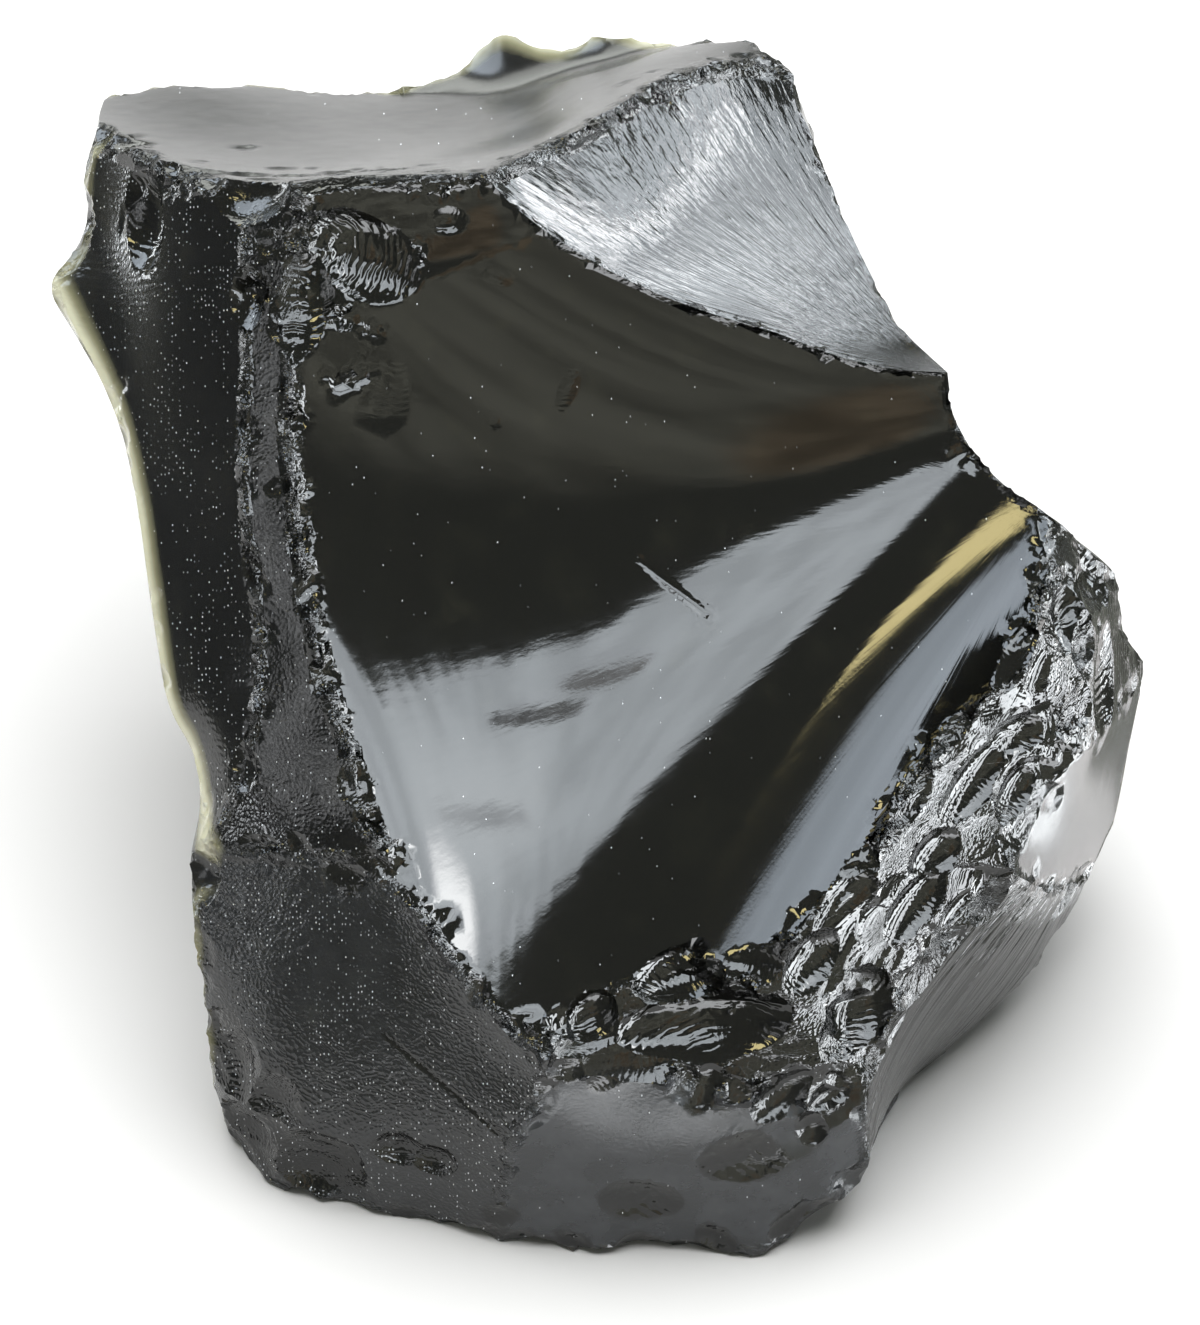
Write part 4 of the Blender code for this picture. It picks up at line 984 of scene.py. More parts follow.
class Lump:
    """The skin of the lump while flakes are struck off it."""

    def __init__(self):
        self.edges, self.points, triangles, owners = make_patchwork()
        mesh = bpy.data.meshes.new("skin")
        mesh.from_pydata(self.points.tolist(), [], triangles.tolist())
        bm = bmesh.new()
        bm.from_mesh(mesh)
        bmesh.ops.recalc_face_normals(bm, faces=bm.faces)
        bm.to_mesh(mesh)
        bm.free()
        corners = np.zeros(len(mesh.loops), dtype=np.int32)
        mesh.loops.foreach_get("vertex_index", corners)
        bpy.data.meshes.remove(mesh)
        self.triangles = corners.reshape(-1, 3)
        self.owners = owners
        self.bruise = np.zeros(len(self.points))
        self.fresh = np.zeros(len(self.points))
        self.homes = leaned([FACE_HOMES.get(name, FAR_HOME) for name in FACES])[owners]
        self.fans = np.array([FACE_FANS.get(name, PLAIN_FAN) for name in FACES])[owners]
        self.grain = self.mean_gap()

    def mean_gap(self):
        """The mean length of the triangle sides at each point."""
        total = np.zeros(len(self.points))
        count = np.zeros(len(self.points))
        for start, end in ((0, 1), (1, 2), (2, 0)):
            a, b = self.triangles[:, start], self.triangles[:, end]
            side = np.linalg.norm(self.points[a] - self.points[b], axis=1)
            for corner in (a, b):
                np.add.at(total, corner, side)
                np.add.at(count, corner, 1)
        return total / count

    def tree(self):
        return BVHTree.FromPolygons(self.points.tolist(), self.triangles.tolist())

    def strike(self, spot, facing, radius, depth, stretch):
        """Push the skin down onto the ball that strikes one scar, and keep its rim crisp."""
        ball = (radius ** 2 + depth ** 2) / (2.0 * depth)
        axes = np.array([ball * stretch, ball, ball])
        centre = np.array(spot) + facing[:, 2] * (ball - depth)
        gap = ((self.points - np.array(spot)) ** 2).sum(axis=1)
        near = np.flatnonzero(gap < (1.4 * radius * stretch + 1.0) ** 2)
        place = (self.points[near] - centre) @ facing / axes
        across = np.hypot(place[:, 0], place[:, 1]) + 1e-9
        rim = np.sqrt(np.maximum(1.0 - place[:, 2] ** 2, 0.0))
        below = place[:, 2] < 0.0
        on_rim = below & (np.abs(rim - across) * ball < RIM_PULL * self.grain[near])
        inside = below & (across < rim) & ~on_rim
        place[on_rim, :2] *= (rim / across)[on_rim, None]
        floor = -np.sqrt(1.0 - across[inside] ** 2)
        lowest = place[inside, 2] - (1.4 * depth + 0.3) / ball
        place[inside, 2] = np.maximum(floor, lowest)
        self.points[near] = (place * axes) @ facing.T + centre
        return near[inside | on_rim]

    def freshen(self, struck, home, fan):
        """Make a scar a clean shell, with lines and rings that run out from its home."""
        self.bruise[struck] = 0.0
        self.fresh[struck] = 1.0
        inside = np.zeros(len(self.points), dtype=bool)
        inside[struck] = True
        facets = inside[self.triangles].all(axis=1)
        self.homes[facets] = home
        self.fans[facets] = fan


def turned(outward, turn):
    """The axes of a scar, turned about the way out of the lump."""
    facing = Vector(outward).normalized().to_track_quat("Z", "Y").to_matrix()
    return np.array(facing @ Matrix.Rotation(turn, 3, "Z"))


def laid(outward, along):
    """The axes of a scar whose long side lies along a line."""
    outward = np.array(Vector(outward).normalized())
    along = along - outward * along.dot(outward)
    along /= np.linalg.norm(along)
    return np.column_stack([along, np.cross(outward, along), outward])


def slant(angle):
    """The direction at an angle to the right, in degrees, as seen square-on to the hollow."""
    across, up = math.cos(math.radians(angle)), math.sin(math.radians(angle))
    return np.array([across, up * math.sin(LEAN), up * math.cos(LEAN)])


def mean_normal(tree, spot, reach):
    """The way out of the lump at a spot, averaged over the facets close to it."""
    total = Vector()
    for _, normal, _, _ in tree.find_nearest_range(Vector(spot), reach):
        total += normal
    return total.normalized()


def look_in(tree, across, up):
    """The spot of the front that is seen at a place, and the way out of it."""
    out = Vector((0.0, -math.cos(LEAN), math.sin(LEAN)))
    start = Vector(leaned([(across, up, 100.0)])[0])
    spot, normal, _, _ = tree.ray_cast(start, -out)
    return spot, normal


def strike_broad_scars(lump):
    """The named scars: those of the sides and the back, then those of the front."""
    tree = lump.tree()
    for near, radius, depth, stretch, turn in REAR_SCARS.values():
        spot, normal, _, _ = tree.find_nearest(Vector(near))
        lump.strike(spot, turned(normal, math.radians(turn)), radius, depth, stretch)
    for across, up, radius, depth, stretch, turn in SCARS.values():
        spot, _ = look_in(tree, across, up)
        facing = turned(mean_normal(tree, spot, SCAR_VIEW), math.radians(turn))
        lump.strike(spot, facing, radius, depth, stretch)


def strike_shells(lump):
    """The clean shells, which no crushing has spoilt since."""
    tree = lump.tree()
    for across, up, radius, depth, stretch, lie, tip, home, fan in SHELLS.values():
        spot, _ = look_in(tree, across, up)
        outward = mean_normal(tree, spot, SHELL_VIEW * radius) + Vector(tip * slant(90.0))
        facing = laid(outward, slant(lie))
        struck = lump.strike(spot, facing, radius, depth, stretch)
        away = leaned([(*home, 0.0)])[0] - leaned([(across, up, 0.0)])[0]
        lump.freshen(struck, np.array(spot) + away, fan)


def strike_bites(lump):
    """The bites that the solid has along its crushed edges."""
    tree = lump.tree()
    rng = random.Random(BITE_SEED)
    for name, (count, smallest, largest) in BITTEN_EDGES.items():
        line = lump.edges[name]
        for number in range(count):
            place = (number + rng.uniform(0.2, 0.8)) / count * (len(line) - 1)
            index = int(place)
            spot = Vector(line[index] + (line[index + 1] - line[index]) * (place - index))
            radius = rng.uniform(smallest, largest)
            stretch = rng.uniform(1.0, 1.6)
            turn = rng.uniform(0.0, math.pi)
            facing = turned(mean_normal(tree, spot, BITE_VIEW), turn)
            lump.strike(spot, facing, radius, radius * BITE_DEPTH, stretch)


def strike_edge_chips(lump, table, seed):
    """Chips scattered along edges: many small ones and a few large."""
    tree = lump.tree()
    rng = random.Random(seed)
    for name, (count, smallest, largest, spread) in table.items():
        line = lump.edges[name]
        for _ in range(count):
            place = rng.uniform(0.0, len(line) - 1.001)
            index = int(place)
            spot = line[index] + (line[index + 1] - line[index]) * (place - index)
            spot = Vector(spot) + Vector([rng.uniform(-spread, spread) for _ in range(3)])
            strike_chip(lump, tree, rng, spot, smallest, largest)


def strike_chip(lump, tree, rng, spot, smallest, largest, along=None):
    """One chip of a chance size at the spot of the skin nearest to a place."""
    spot, _, _, _ = tree.find_nearest(spot)
    radius = smallest * (largest / smallest) ** (rng.random() ** 1.5)
    outward = mean_normal(tree, spot, max(0.8, 0.7 * radius))
    outward += Vector([rng.uniform(-CHIP_TILT, CHIP_TILT) for _ in range(3)])
    if along is not None:
        outward += Vector(CHIP_TIP * slant(90.0))
    depth = radius * rng.uniform(*CHIP_DEPTH)
    turn = rng.uniform(0.0, math.pi)
    stretch = rng.uniform(1.0, 2.2)
    facing = turned(outward, turn) if along is None else laid(outward, along)
    struck = lump.strike(spot, facing, radius, depth, stretch)
    if radius < SHELL_RADIUS:
        lump.bruise[struck] += 1.0
    else:
        side = rng.choice((-1.0, 1.0)) * radius * stretch
        lump.freshen(struck, np.array(spot) + facing[:, 0] * side, CHIP_FAN)


def strike_patches(lump, table, seed):
    """Chips crowded into crushed patches of the front."""
    tree = lump.tree()
    rng = random.Random(seed)
    for across, up, wide, high, turn, count, smallest, largest in table.values():
        cos, sin = math.cos(math.radians(turn)), math.sin(math.radians(turn))
        for _ in range(count):
            x, y = rng.gauss(0.0, 0.5) * wide, rng.gauss(0.0, 0.5) * high
            spot, _ = look_in(tree, across + x * cos - y * sin, up + x * sin + y * cos)
            along = slant(turn + rng.uniform(-CHIP_SWING, CHIP_SWING))
            if spot is not None:
                strike_chip(lump, tree, rng, spot, smallest, largest, along)


def point_looks(lump):
    """The looks of each point: the mean of the faces round it, and its own bruises."""
    rows = np.array([FACE_LOOKS[name] for name in FACES])[lump.owners]
    total = np.zeros((len(lump.points), rows.shape[1]))
    count = np.zeros(len(lump.points))
    for corner in range(3):
        np.add.at(total, lump.triangles[:, corner], rows)
        np.add.at(count, lump.triangles[:, corner], 1)
    looks = dict(zip(LOOK_NAMES, (total / count[:, None]).T))
    crushed = looks["crushed"] + BRUISE_LOOK * np.maximum(lump.bruise - LIGHT_BRUISE, 0.0)
    for name, (reach, strength) in CRUSHED_EDGES.items():
        gap = gap_to_line(lump.points, smooth_line(lump.edges[name], FINE_STEP))
        near = strength * np.clip(2.0 - 2.0 * gap / reach, 0.0, 1.0)
        crushed = np.maximum(crushed, near * (1.0 - CLEAN_SHARE * looks["clean"]))
    looks["crushed"] = np.clip(crushed, 0.0, 1.0) * (1.0 - SHELL_CLEAN * lump.fresh)
    looks["dust_and_sheen"] = looks["dust_and_sheen"] * (1.0 - SHELL_CLEAN * lump.fresh)
    looks["roughness"] = looks["roughness"] * (1.0 - SHELL_SHEEN * lump.fresh)
    # How strongly the glow of light through the thinnest edges is painted into the colour.
    painted_glow = np.zeros(len(lump.points))
    for name, (reach, strength) in PAINTED_GLOW_EDGES.items():
        gap = gap_to_line(lump.points, smooth_line(lump.edges[name], FINE_STEP))
        painted_glow = np.maximum(painted_glow, strength * np.clip(1.0 - gap / reach, 0.0, 1.0))
    looks["painted_glow"] = painted_glow
    looks["crumbly"] = (looks["crushed"] > CRUMBLY_LOOK).astype(float)
    return looks


def finish_lump(lump):
    """The lump as an object: inside the solid's box, with its looks as attributes."""
    low, high = (np.array(corner) / MM for corner in CAD_BOX)
    points = np.clip(lump.points, low, high) * MM
    mesh = bpy.data.meshes.new("obsidian_glass")
    mesh.from_pydata(points.tolist(), [], lump.triangles.tolist())
    for name, values in point_looks(lump).items():
        layer = mesh.attributes.new(name, "FLOAT", "POINT")
        layer.data.foreach_set("value", values.astype(np.float32))
    add_fans(mesh, lump)
    mesh.shade_smooth()
    mesh.set_sharp_from_angle(angle=SHARP_ANGLE)
    glass = bpy.data.objects.new("obsidian_glass", mesh)
    bpy.context.collection.objects.link(glass)
    return glass


class Wires:
    """A short way to place nodes and join them."""

    def __init__(self, tree):
        self.tree = tree

    def node(self, kind, inputs=(), **settings):
        made = self.tree.nodes.new(kind)
        for name, value in settings.items():
            setattr(made, name, value)
        for socket, value in dict(inputs).items():
            self.feed(made.inputs[socket], value)
        return made

    def feed(self, socket, value):
        if isinstance(value, bpy.types.NodeSocket):
            self.tree.links.new(value, socket)
        else:
            socket.default_value = value

    def math(self, operation, *values, clamp=False):
        made = self.node("ShaderNodeMath", operation=operation, use_clamp=clamp)
        for socket, value in zip(made.inputs, values):
            self.feed(socket, value)
        return made.outputs[0]

    def vector(self, operation, *values, scale=None):
        made = self.node("ShaderNodeVectorMath", operation=operation)
        for socket, value in zip(made.inputs, values):
            self.feed(socket, value)
        if scale is not None:
            self.feed(made.inputs["Scale"], scale)
        return made.outputs["Value" if operation in ("LENGTH", "DOT_PRODUCT") else "Vector"]

    def fade(self, value, start, end, low=0.0, high=1.0):
        """Go smoothly from low to high as a value goes from start to end."""
        made = self.node("ShaderNodeMapRange", interpolation_type="SMOOTHSTEP", inputs={
            "Value": value, "From Min": start, "From Max": end, "To Min": low,
            "To Max": high})
        return made.outputs["Result"]

    def blend(self, amount, first, second):
        """Mix two colours."""
        made = self.node("ShaderNodeMix", data_type="RGBA")
        for socket, value in zip((made.inputs[0], made.inputs[6], made.inputs[7]),
                                 (amount, first, second)):
            self.feed(socket, value)
        return made.outputs[2]

    def noise(self, place, scale, detail=3.0, roughness=0.5):
        made = self.node("ShaderNodeTexNoise", inputs={
            "Vector": place, "Scale": scale, "Detail": detail, "Roughness": roughness})
        return made.outputs["Fac"]

    def look(self, name):
        return self.node("ShaderNodeAttribute", attribute_name=name).outputs["Fac"]


def new_group(name, inputs, outputs):
    """An empty shader node group with float or vector sockets; gives wires, ins and outs."""
    group = bpy.data.node_groups.new(name, "ShaderNodeTree")
    for side, sockets in (("INPUT", inputs), ("OUTPUT", outputs)):
        for socket, kind in sockets.items():
            group.interface.new_socket(socket, in_out=side, socket_type="NodeSocket" + kind)
    wires = Wires(group)
    return wires, wires.node("NodeGroupInput").outputs, wires.node("NodeGroupOutput").inputs


def ripples_group():
    """Rings of fine steps that spread from the point where a fan of glass was struck."""
    wires, given, result = new_group(
        "Conchoidal ripples",
        {"Place": "Vector", "Centre": "Vector", "Middle": "Vector", "Reach": "Float",
         "Spacing": "Float", "Wobble": "Float"},
        {"Height": "Float"})
    distance = wires.vector("LENGTH", wires.vector("SUBTRACT", given["Place"], given["Centre"]))
    drift = wires.math("MULTIPLY", given["Wobble"], RING_DRIFT)
    turns = wires.math("DIVIDE", wires.math("ADD", distance, drift), given["Spacing"])
    wave = wires.math("SINE", wires.math("MULTIPLY", turns, 2.0 * math.pi))
    gap = wires.vector("LENGTH", wires.vector("SUBTRACT", given["Place"], given["Middle"]))
    near = wires.fade(gap, wires.math("MULTIPLY", given["Reach"], 0.55), given["Reach"],
                      1.0, 0.0)
    patchy = wires.fade(given["Wobble"], 0.38, 0.6, 0.1, 1.0)
    wires.feed(result["Height"], wires.math("MULTIPLY", wave,
                                            wires.math("MULTIPLY", near, patchy)))
    return wires.tree


def shards_group():
    """Crushed glass: every cell is a small flat facet with a tilt of its own."""
    wires, given, result = new_group(
        "Crushed shards", {"Place": "Vector", "Scale": "Float"}, {"Height": "Float"})
    long = wires.node("ShaderNodeMapping", inputs={
        "Vector": given["Place"], "Rotation": SHARD_TURN, "Scale": SHARD_STRETCH})
    cells = wires.node("ShaderNodeTexVoronoi", inputs={
        "Vector": long.outputs[0], "Scale": given["Scale"]})
    tilt = wires.vector("SUBTRACT", cells.outputs["Color"], (0.5, 0.5, 0.5))
    away = wires.vector("SUBTRACT", long.outputs[0], cells.outputs["Position"])
    slope = wires.vector("DOT_PRODUCT", tilt, away)
    dish = wires.math("MULTIPLY", wires.vector("DOT_PRODUCT", away, away), given["Scale"])
    wires.feed(result["Height"], wires.math("MULTIPLY_ADD", dish, SHARD_DISH, slope))
    return wires.tree


def streaks_group():
    """Long fine lines that run out from one point, as a break that spread from there."""
    wires, given, result = new_group(
        "Running streaks",
        {"Place": "Vector", "Centre": "Vector", "Fineness": "Float", "Length": "Float"},
        {"Height": "Float"})
    away = wires.vector("SUBTRACT", given["Place"], given["Centre"])
    distance = wires.vector("LENGTH", away)
    heading = wires.vector("NORMALIZE", away)
    fine = wires.vector("SCALE", heading, scale=given["Fineness"])
    drift = wires.math("MULTIPLY", distance, given["Length"])
    place = wires.vector("ADD", fine, wires.node(
        "ShaderNodeCombineXYZ", inputs={"X": drift}).outputs[0])
    wires.feed(result["Height"], wires.noise(place, 1.0, 3.0, 0.6))
    return wires.tree


def add_fans(mesh, lump):
    """Store on each facet where its lines and rings run out from, and how fine they are."""
    for name, values in (("home", lump.homes * MM), ("fan", lump.fans)):
        layer = mesh.attributes.new(name, "FLOAT_VECTOR", "FACE")
        layer.data.foreach_set("vector", values.astype(np.float32).ravel())


def ripple_places(lump):
    """The struck point and the middle of each set of ripples, on the skin, in metres."""
    tree = lump.tree()
    places = {}
    for name, (x, y, mid_x, mid_y, reach, spacing, height) in RIPPLES.items():
        struck, _ = look_in(tree, x, y)
        middle, _ = look_in(tree, mid_x, mid_y)
        if struck is None:
            struck = middle
        places[name] = (struck * MM, middle * MM, reach * MM, spacing * MM, height * MM)
    return places


def fan_relief(wires, place, wobble, settings, groups):
    """The lines and the rings that run out from where each face or shell was struck."""
    home = wires.node("ShaderNodeAttribute", attribute_name="home").outputs["Vector"]
    fan = wires.node("ShaderNodeSeparateXYZ", inputs={"Vector": wires.node(
        "ShaderNodeAttribute", attribute_name="fan").outputs["Vector"]}).outputs
    lines = 0.0
    for coarseness, weight in STREAK_LEVELS:
        streaks = wires.node("ShaderNodeGroup", node_tree=groups["streaks"], inputs={
            "Place": place, "Centre": home, "Length": STREAK_RUN / coarseness,
            "Fineness": wires.math("DIVIDE", fan["X"], coarseness)}).outputs[0]
        lines = wires.math("MULTIPLY_ADD", streaks, weight, lines)
    streaked = wires.math("MULTIPLY", wires.look("streaked"), settings.streak_height)
    rings = wires.node("ShaderNodeGroup", node_tree=groups["ripples"], inputs={
        "Place": place, "Centre": home, "Middle": home, "Reach": 10.0,
        "Spacing": wires.math("MULTIPLY", fan["Y"], MM), "Wobble": wobble}).outputs[0]
    rise = wires.math("MULTIPLY", fan["Z"], MM * settings.ripple_height)
    return wires.math("MULTIPLY_ADD", rings, rise, wires.math("MULTIPLY", lines, streaked))


def glass_relief(wires, place, settings, ripples, groups):
    """All the relief that is finer than the facets, as one height in metres."""
    bent = wires.vector("MULTIPLY_ADD", wires.node("ShaderNodeTexNoise", inputs={
        "Vector": place, "Scale": SHARD_BENDS, "Detail": 1.0}).outputs["Color"],
        (SHARD_BEND,) * 3, place)
    height = 0.0
    for size, tilt in SHARD_SIZES:
        shards = wires.node("ShaderNodeGroup", node_tree=groups["shards"], inputs={
            "Place": bent, "Scale": 1.0 / (size * settings.shard_size)}).outputs[0]
        height = wires.math("MULTIPLY_ADD", shards, tilt, height)
    height = wires.math("MULTIPLY", height, wires.look("crushed"))
    fine = wires.node("ShaderNodeTexVoronoi", inputs={
        "Vector": bent, "Scale": 1.0 / (FINE_SHARD * settings.shard_size)})
    glints = wires.math("MULTIPLY", fine.outputs["Distance"], FINE_TILT * settings.shard_size)
    grain = wires.math("MAXIMUM", wires.look("grain"), wires.look("crushed"))
    height = wires.math("MULTIPLY_ADD", glints, grain, height)
    wobble = wires.noise(place, RING_WOBBLES, 2.0)
    height = wires.math("ADD", height, fan_relief(wires, place, wobble, settings, groups))
    for struck, middle, reach, spacing, rise in ripples.values():
        rings = wires.node("ShaderNodeGroup", node_tree=groups["ripples"], inputs={
            "Place": place, "Centre": struck, "Middle": middle, "Reach": reach,
            "Spacing": spacing, "Wobble": wobble}).outputs[0]
        height = wires.math("MULTIPLY_ADD", rings, rise * settings.ripple_height, height)
    grit = wires.noise(place, GRIT, 2.0)
    rough = wires.math("MULTIPLY", wires.look("roughness"), GRIT_HEIGHT)
    return wires.math("MULTIPLY_ADD", grit, rough, height)


def bubble_mask(wires, place):
    """Small round bubbles in rows, where the glass has them."""
    parts = wires.node("ShaderNodeSeparateXYZ", inputs={"Vector": place}).outputs
    up = wires.math("ADD", wires.math("MULTIPLY", parts["Y"], math.sin(LEAN)),
                    wires.math("MULTIPLY", parts["Z"], math.cos(LEAN)))
    rows = wires.node("ShaderNodeCombineXYZ", inputs={
        "X": wires.math("MULTIPLY", parts["X"], BUBBLE_ROWS[0]),
        "Y": wires.math("MULTIPLY", up, BUBBLE_ROWS[1])}).outputs[0]
    cells = wires.node("ShaderNodeTexVoronoi", voronoi_dimensions="2D", inputs={
        "Vector": rows, "Scale": 1.0, "Randomness": 0.7})
    dots = wires.fade(cells.outputs["Distance"], 0.06, 0.22, 1.0, 0.0)
    chances = wires.node("ShaderNodeSeparateColor", inputs={
        "Color": cells.outputs["Color"]}).outputs
    dots = wires.math("MULTIPLY", dots, wires.fade(chances[1], 0.2, 1.0, 0.15, 1.0))
    patchy = wires.fade(wires.noise(place, BUBBLE_CROWDS, 3.0), 0.4, 0.62, 0.08, 0.5)
    likely = wires.math("MULTIPLY", wires.look("bubbles"), patchy)
    shown = wires.math("LESS_THAN", chances[0], likely)
    return wires.math("MULTIPLY", dots, shown)


def glass_material(settings, ripples):
    """Black volcanic glass: mirror-like breaks, frosted, dusty and crushed places, with a grey
    sheen painted on the foot as dust and a glow painted at its thinnest edges.
    """
    groups = {"ripples": ripples_group(), "shards": shards_group(),
              "streaks": streaks_group()}
    material = bpy.data.materials.new("Volcanic glass")
    material.use_nodes = True
    material.node_tree.nodes.clear()
    wires = Wires(material.node_tree)
    place = wires.node("ShaderNodeTexCoord").outputs["Object"]
    crushed, painted_glow = wires.look("crushed"), wires.look("painted_glow")
    blotches = wires.noise(place, BLOTCHES, 3.0, 0.6)
    # Dust grey; on the foot it also stands for a painted grey sheen.
    dust_and_sheen = wires.math("MULTIPLY", wires.look("dust_and_sheen"), wires.fade(blotches, 0.25, 0.75, 0.5, 1.1))
    colour = wires.blend(dust_and_sheen, GLASS_BLACK, DUST_AND_SHEEN_GREY)
    powder = wires.math("MULTIPLY", crushed, wires.fade(blotches, 0.45, 0.75, 0.0, 0.35))
    colour = wires.blend(powder, colour, POWDER_GREY)
    colour = wires.blend(bubble_mask(wires, place), colour, BUBBLE_WHITE)
    # The glow of light through the thinnest edges, painted into the colour: olive, then cream.
    rim = wires.math("ADD", painted_glow, wires.math("MULTIPLY", blotches, PAINTED_GLOW_SPREAD))
    colour = wires.blend(wires.fade(rim, 0.15, 0.9), colour, PAINTED_GLOW_OLIVE)
    colour = wires.blend(wires.fade(rim, 0.7, 1.3), colour, PAINTED_GLOW_CREAM)
    roughness = wires.math("MULTIPLY_ADD", wires.noise(place, SHEEN_CHANGES, 3.0),
                           SHEEN_SPREAD, wires.look("roughness"))
    roughness = wires.math("MULTIPLY_ADD", crushed, SHEEN_SPREAD / 2, roughness)
    roughness = wires.math("SUBTRACT", roughness, SHEEN_SPREAD / 2)
    height = glass_relief(wires, place, settings, ripples, groups)
    bump = wires.node("ShaderNodeBump", inputs={
        "Strength": 1.0, "Distance": 1.0, "Height": height})
    glass = wires.node("ShaderNodeBsdfPrincipled", inputs={
        "Base Color": colour, "Roughness": roughness, "IOR": settings.bend,
        "Normal": bump.outputs[0]})
    output = wires.node("ShaderNodeOutputMaterial")
    material.node_tree.links.new(glass.outputs[0], output.inputs["Surface"])
    return material


def crumbs_tree():
    """Scatter small splinters over the crushed edges of the glass."""
    tree = bpy.data.node_groups.new("Edge crumbs", "GeometryNodeTree")
    for name, kind in CRUMB_SOCKETS.items():
        tree.interface.new_socket(name, in_out="INPUT", socket_type="NodeSocket" + kind)
    tree.interface.new_socket("Geometry", in_out="OUTPUT", socket_type="NodeSocketGeometry")
    wires = Wires(tree)
    given = wires.node("NodeGroupInput").outputs
    crushed = wires.node("GeometryNodeInputNamedAttribute", data_type="FLOAT",
                         inputs={"Name": "crumbly"}).outputs["Attribute"]
    density = wires.math("MULTIPLY", crushed, given["Density"])
    scatter = wires.node("GeometryNodeDistributePointsOnFaces", distribute_method="RANDOM",
                         inputs={"Mesh": given["Geometry"], "Density": density,
                                 "Seed": given["Seed"]})
    real = wires.node("GeometryNodeRealizeInstances", inputs={
        "Geometry": put_splinters(wires, given, scatter.outputs["Points"])})
    facets = wires.node("GeometryNodeSetShadeSmooth", inputs={
        "Geometry": real.outputs["Geometry"], "Shade Smooth": False})
    dressed = wires.node("GeometryNodeSetMaterial", inputs={
        "Geometry": facets.outputs["Geometry"], "Material": given["Material"]})
    wires.feed(wires.node("NodeGroupOutput").inputs[0], dressed.outputs["Geometry"])
    return tree


def put_splinters(wires, given, points):
    """A flattened splinter of a chance size and turn at each point."""
    splinter = wires.node("GeometryNodeMeshIcoSphere", inputs={
        "Radius": 1.0, "Subdivisions": 1})
    size = wires.node("FunctionNodeRandomValue", data_type="FLOAT", inputs={
        "Min": given["Smallest"], "Max": given["Largest"], "Seed": given["Seed"]}).outputs[1]
    turn = wires.node("FunctionNodeRandomValue", data_type="FLOAT_VECTOR", inputs={
        0: (0.0, 0.0, 0.0), 1: (6.28, 6.28, 6.28), "Seed": given["Seed"]})
    cube = wires.node("ShaderNodeCombineXYZ", inputs={0: size, 1: size, 2: size})
    put = wires.node("GeometryNodeInstanceOnPoints", inputs={
        "Points": points, "Instance": splinter.outputs["Mesh"], "Rotation": turn.outputs[0],
        "Scale": wires.vector("MULTIPLY", cube.outputs[0], SPLINTER_SHAPE)})
    return put.outputs["Instances"]


def scatter_crumbs(glass, settings):
    """Splinters still stuck along the crushed edges, as one plain mesh."""
    carrier = bpy.data.objects.new("crumb_carrier", glass.data.copy())
    bpy.context.collection.objects.link(carrier)
    modifier = carrier.modifiers.new("crumbs", "NODES")
    modifier.node_group = crumbs_tree()
    values = {"Density": settings.crumb_density, "Smallest": settings.crumb_smallest,
              "Largest": settings.crumb_largest, "Seed": settings.crumb_seed,
              "Material": bpy.data.materials["Volcanic glass"]}
    for item in modifier.node_group.interface.items_tree:
        if item.in_out == "INPUT" and item.name in values:
            modifier[item.identifier] = values[item.name]
    bpy.context.view_layer.update()
    ready = carrier.evaluated_get(bpy.context.evaluated_depsgraph_get())
    mesh = bpy.data.meshes.new_from_object(ready)
    mesh.name = "edge_crumbs"
    bpy.data.objects.remove(carrier)
    low, high = (np.array(corner) for corner in CAD_BOX)
    for vertex in mesh.vertices:
        vertex.co = np.clip(vertex.co, low, high)
    crumbs = bpy.data.objects.new("edge_crumbs", mesh)
    bpy.context.collection.objects.link(crumbs)
    return crumbs


def on_dome(spots):
    """Turn places on the dome's plan, in degrees, into points in space."""
    tilt = np.radians(np.hypot(spots[:, 0], spots[:, 1]))
    turn = np.arctan2(spots[:, 0], spots[:, 1])
    return DOME_RADIUS * np.column_stack([np.sin(tilt) * np.sin(turn),
                                          -np.sin(tilt) * np.cos(turn), np.cos(tilt)])


def dome_card(name, outline, colour, strength, soft, nearer):
    """A glowing card that follows the dome inside its outline."""
    extent = np.ptp(np.array(outline), axis=0).max()
    facet = min(CARD_FACET, max(0.5 * soft, extent / 50.0))
    ring = smooth_outline(np.array(outline, dtype=float), facet)
    closed = np.vstack([ring, ring[:1]])
    grid = triangle_grid(ring, facet)
    gaps = gap_to_line(grid, closed)
    grid, gaps = grid[gaps > 0.3 * facet], gaps[gaps > 0.3 * facet]
    spots = np.vstack([ring, grid])
    _, _, triangles, origins, _, _ = delaunay_2d_cdt(
        [Vector(spot) for spot in spots], [], [list(range(len(ring)))], 1, 1e-6)
    first = np.array([origin[0] for origin in origins])
    mesh = bpy.data.meshes.new(name)
    places = on_dome(spots) * (1.0 - nearer)
    mesh.from_pydata(places.tolist(), [], first[np.array(triangles)].tolist())
    solid = np.clip(np.concatenate([np.zeros(len(ring)), gaps]) / soft, 0.0, 1.0)
    layer = mesh.attributes.new("solid", "FLOAT", "POINT")
    layer.data.foreach_set("value", solid.astype(np.float32))
    mesh.materials.append(glow_material(name, colour, strength, UNEVEN_CARDS.get(name, 0.0)))
    card = bpy.data.objects.new(name, mesh)
    bpy.context.collection.objects.link(card)
    card.visible_camera = False
    card.visible_shadow = False
    return card


def smooth_outline(ring, facet):
    """Add points along a closed outline, so that it follows the dome."""
    pieces = []
    for start, end in zip(ring, np.roll(ring, -1, axis=0)):
        count = max(1, math.ceil(np.linalg.norm(end - start) / facet))
        pieces.append(start + (end - start) * (np.arange(count) / count)[:, None])
    return np.vstack(pieces)


